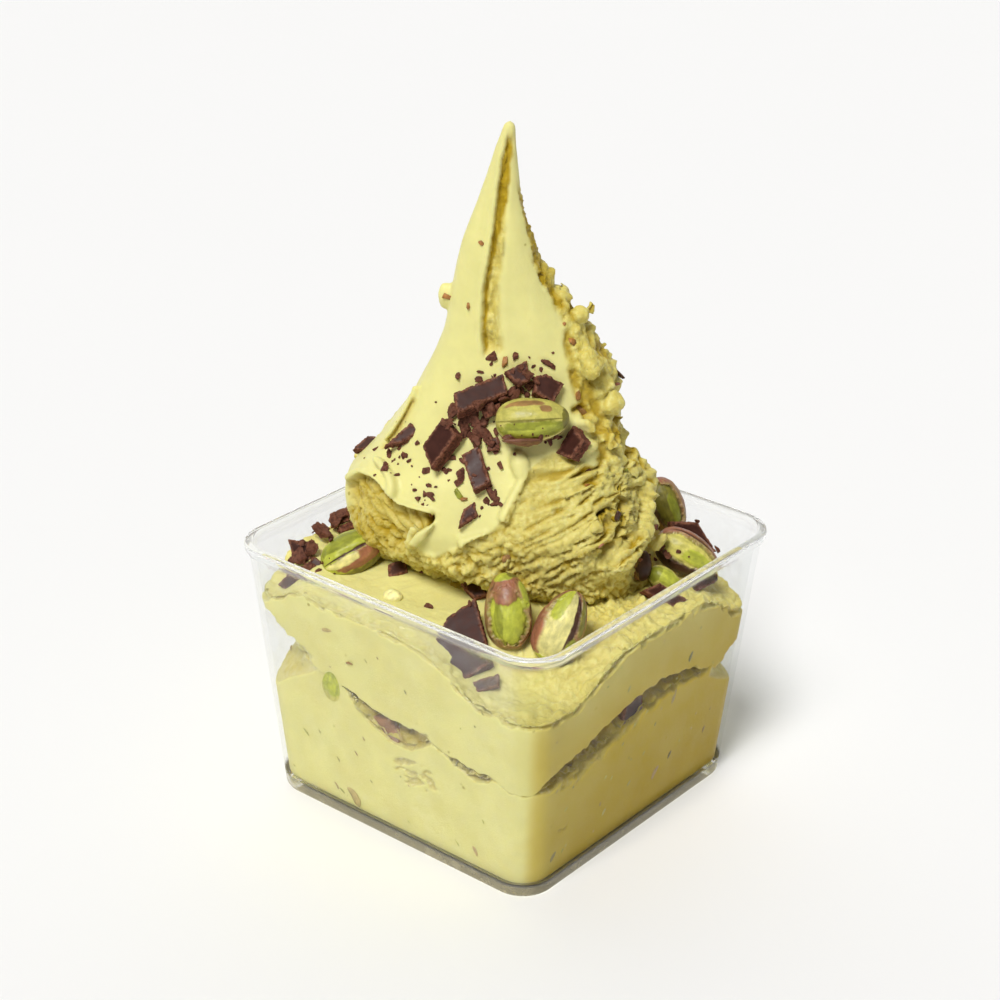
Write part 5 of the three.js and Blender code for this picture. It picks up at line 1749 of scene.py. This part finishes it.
class GELATOCUP_OT_chocolate(Operator):
    """The broken pieces of chocolate that have a solid"""
    bl_idname = "gelatocup.chocolate"
    bl_label = "Chocolate"

    def execute(self, context):
        cell = context.scene.gelato_cup_chocolate.voxel
        for node in sorted(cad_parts):
            if node.startswith("chocolate_"):
                obj = chunk_object(node, node.replace("chocolate", "chunk"), cell)
                finish_piece(obj, "dark_chocolate", [node], False)
        return {"FINISHED"}


class GELATOCUP_OT_kernels(Operator):
    """The pistachio kernels and the chip of skin"""
    bl_idname = "gelatocup.kernels"
    bl_label = "Kernels"

    def execute(self, context):
        picture = Picture(context.scene.gelato_cup_stage)
        palette = kernel_palette(context.scene.gelato_cup_kernels)
        for spec in KERNELS:
            grid, colour = kernel_surface(spec, picture, palette)
            if spec[0] == "in_layer":
                grid = press_to_wall(grid, PIECES_INTO_WALL)
            obj = new_object("kernel_" + spec[0], *shell(grid))
            set_values(obj.data, tint=flat(colour))
            finish_piece(obj, "pistachio_kernel", ["pistachio_" + spec[0]])
        obj = chunk_object("skin_chip_in_layer", "chip_of_skin", SKIN_CHIP_CELL)
        points = read_points(obj.data)
        write_points(obj.data, press_to_wall(points, PIECES_INTO_WALL))
        tone = 0.5 * palette["skin"] + 0.5 * palette["husk"]
        set_values(obj.data, tint=tone * (1 + 0.35 * layered(points, 1.5, 5, 3))[:, None])
        finish_piece(obj, "pistachio_kernel", ["skin_chip_in_layer"])
        return {"FINISHED"}


class GELATOCUP_OT_crumbs(Operator):
    """Chips, crumbs and nut bits that lie on the gelato"""
    bl_idname = "gelatocup.crumbs"
    bl_label = "Crumbs"

    def execute(self, context):
        picture = Picture(context.scene.gelato_cup_stage)
        carriers = [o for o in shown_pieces() if o.name.startswith(
            ("upper_layer", "lobe_and_peak", "chunk_", "kernel_"))]
        ground = Ground(picture, [(read_points(o.data), [p.vertices for p in o.data.polygons])
                                  for o in carriers])
        specs = list(CHOCOLATE_CHIPS) + crumb_places(np.random.default_rng(5))
        parts = [chip_shell(ground, *spec, 100 + k) for k, spec in enumerate(specs)]
        obj = new_object("chocolate_crumbs", *join(parts))
        plain = np.ones(len(obj.data.vertices))
        # The crumbs are a little pale all over: partly wear, partly a painted highlight.
        set_values(obj.data, broken=0.6 * plain, edge=0.35 * plain)
        finish_piece(obj, "dark_chocolate", smooth=False)
        palette = kernel_palette(context.scene.gelato_cup_kernels)
        for name, made in (("nut_flecks", fleck_shells(palette)),
                           ("nut_bits", [nut_bit(ground, palette, k, *spec)
                                         for k, spec in enumerate(NUT_BITS)])):
            obj = new_object(name, *join([part for part, _ in made]))
            set_values(obj.data, tint=np.clip(np.vstack([tint for _, tint in made]), 0.01, 1))
            finish_piece(obj, "pistachio_kernel")
        return {"FINISHED"}


OPERATORS = (GELATOCUP_OT_stage, GELATOCUP_OT_cup, GELATOCUP_OT_layers, GELATOCUP_OT_swirl,
             GELATOCUP_OT_chocolate, GELATOCUP_OT_kernels, GELATOCUP_OT_crumbs)


class GELATOCUP_PT_panel(Panel):
    bl_label = "Gelato Cup"
    bl_idname = "GELATOCUP_PT_panel"
    bl_space_type = "VIEW_3D"
    bl_region_type = "UI"
    bl_category = "Gelato Cup"

    def draw(self, context):
        for operator in OPERATORS:
            self.layout.operator(operator.bl_idname)
        for name, group in SETTINGS.items():
            box = self.layout.box()
            box.label(text=group.__name__.replace("Settings", ""))
            for key in group.__annotations__:
                box.prop(getattr(context.scene, name), key)


CLASSES = (*SETTINGS.values(), *OPERATORS, GELATOCUP_PT_panel)


def register():
    for cls in CLASSES:
        bpy.utils.register_class(cls)
    for name, group in SETTINGS.items():
        setattr(bpy.types.Scene, name, PointerProperty(type=group))


def unregister():
    for name in SETTINGS:
        delattr(bpy.types.Scene, name)
    for cls in reversed(CLASSES):
        bpy.utils.unregister_class(cls)


def main():
    register()
    for operator in OPERATORS:
        getattr(bpy.ops.gelatocup, operator.bl_idname.split(".")[1])()
    bpy.context.view_layer.update()


if __name__ == "__main__":
    main()
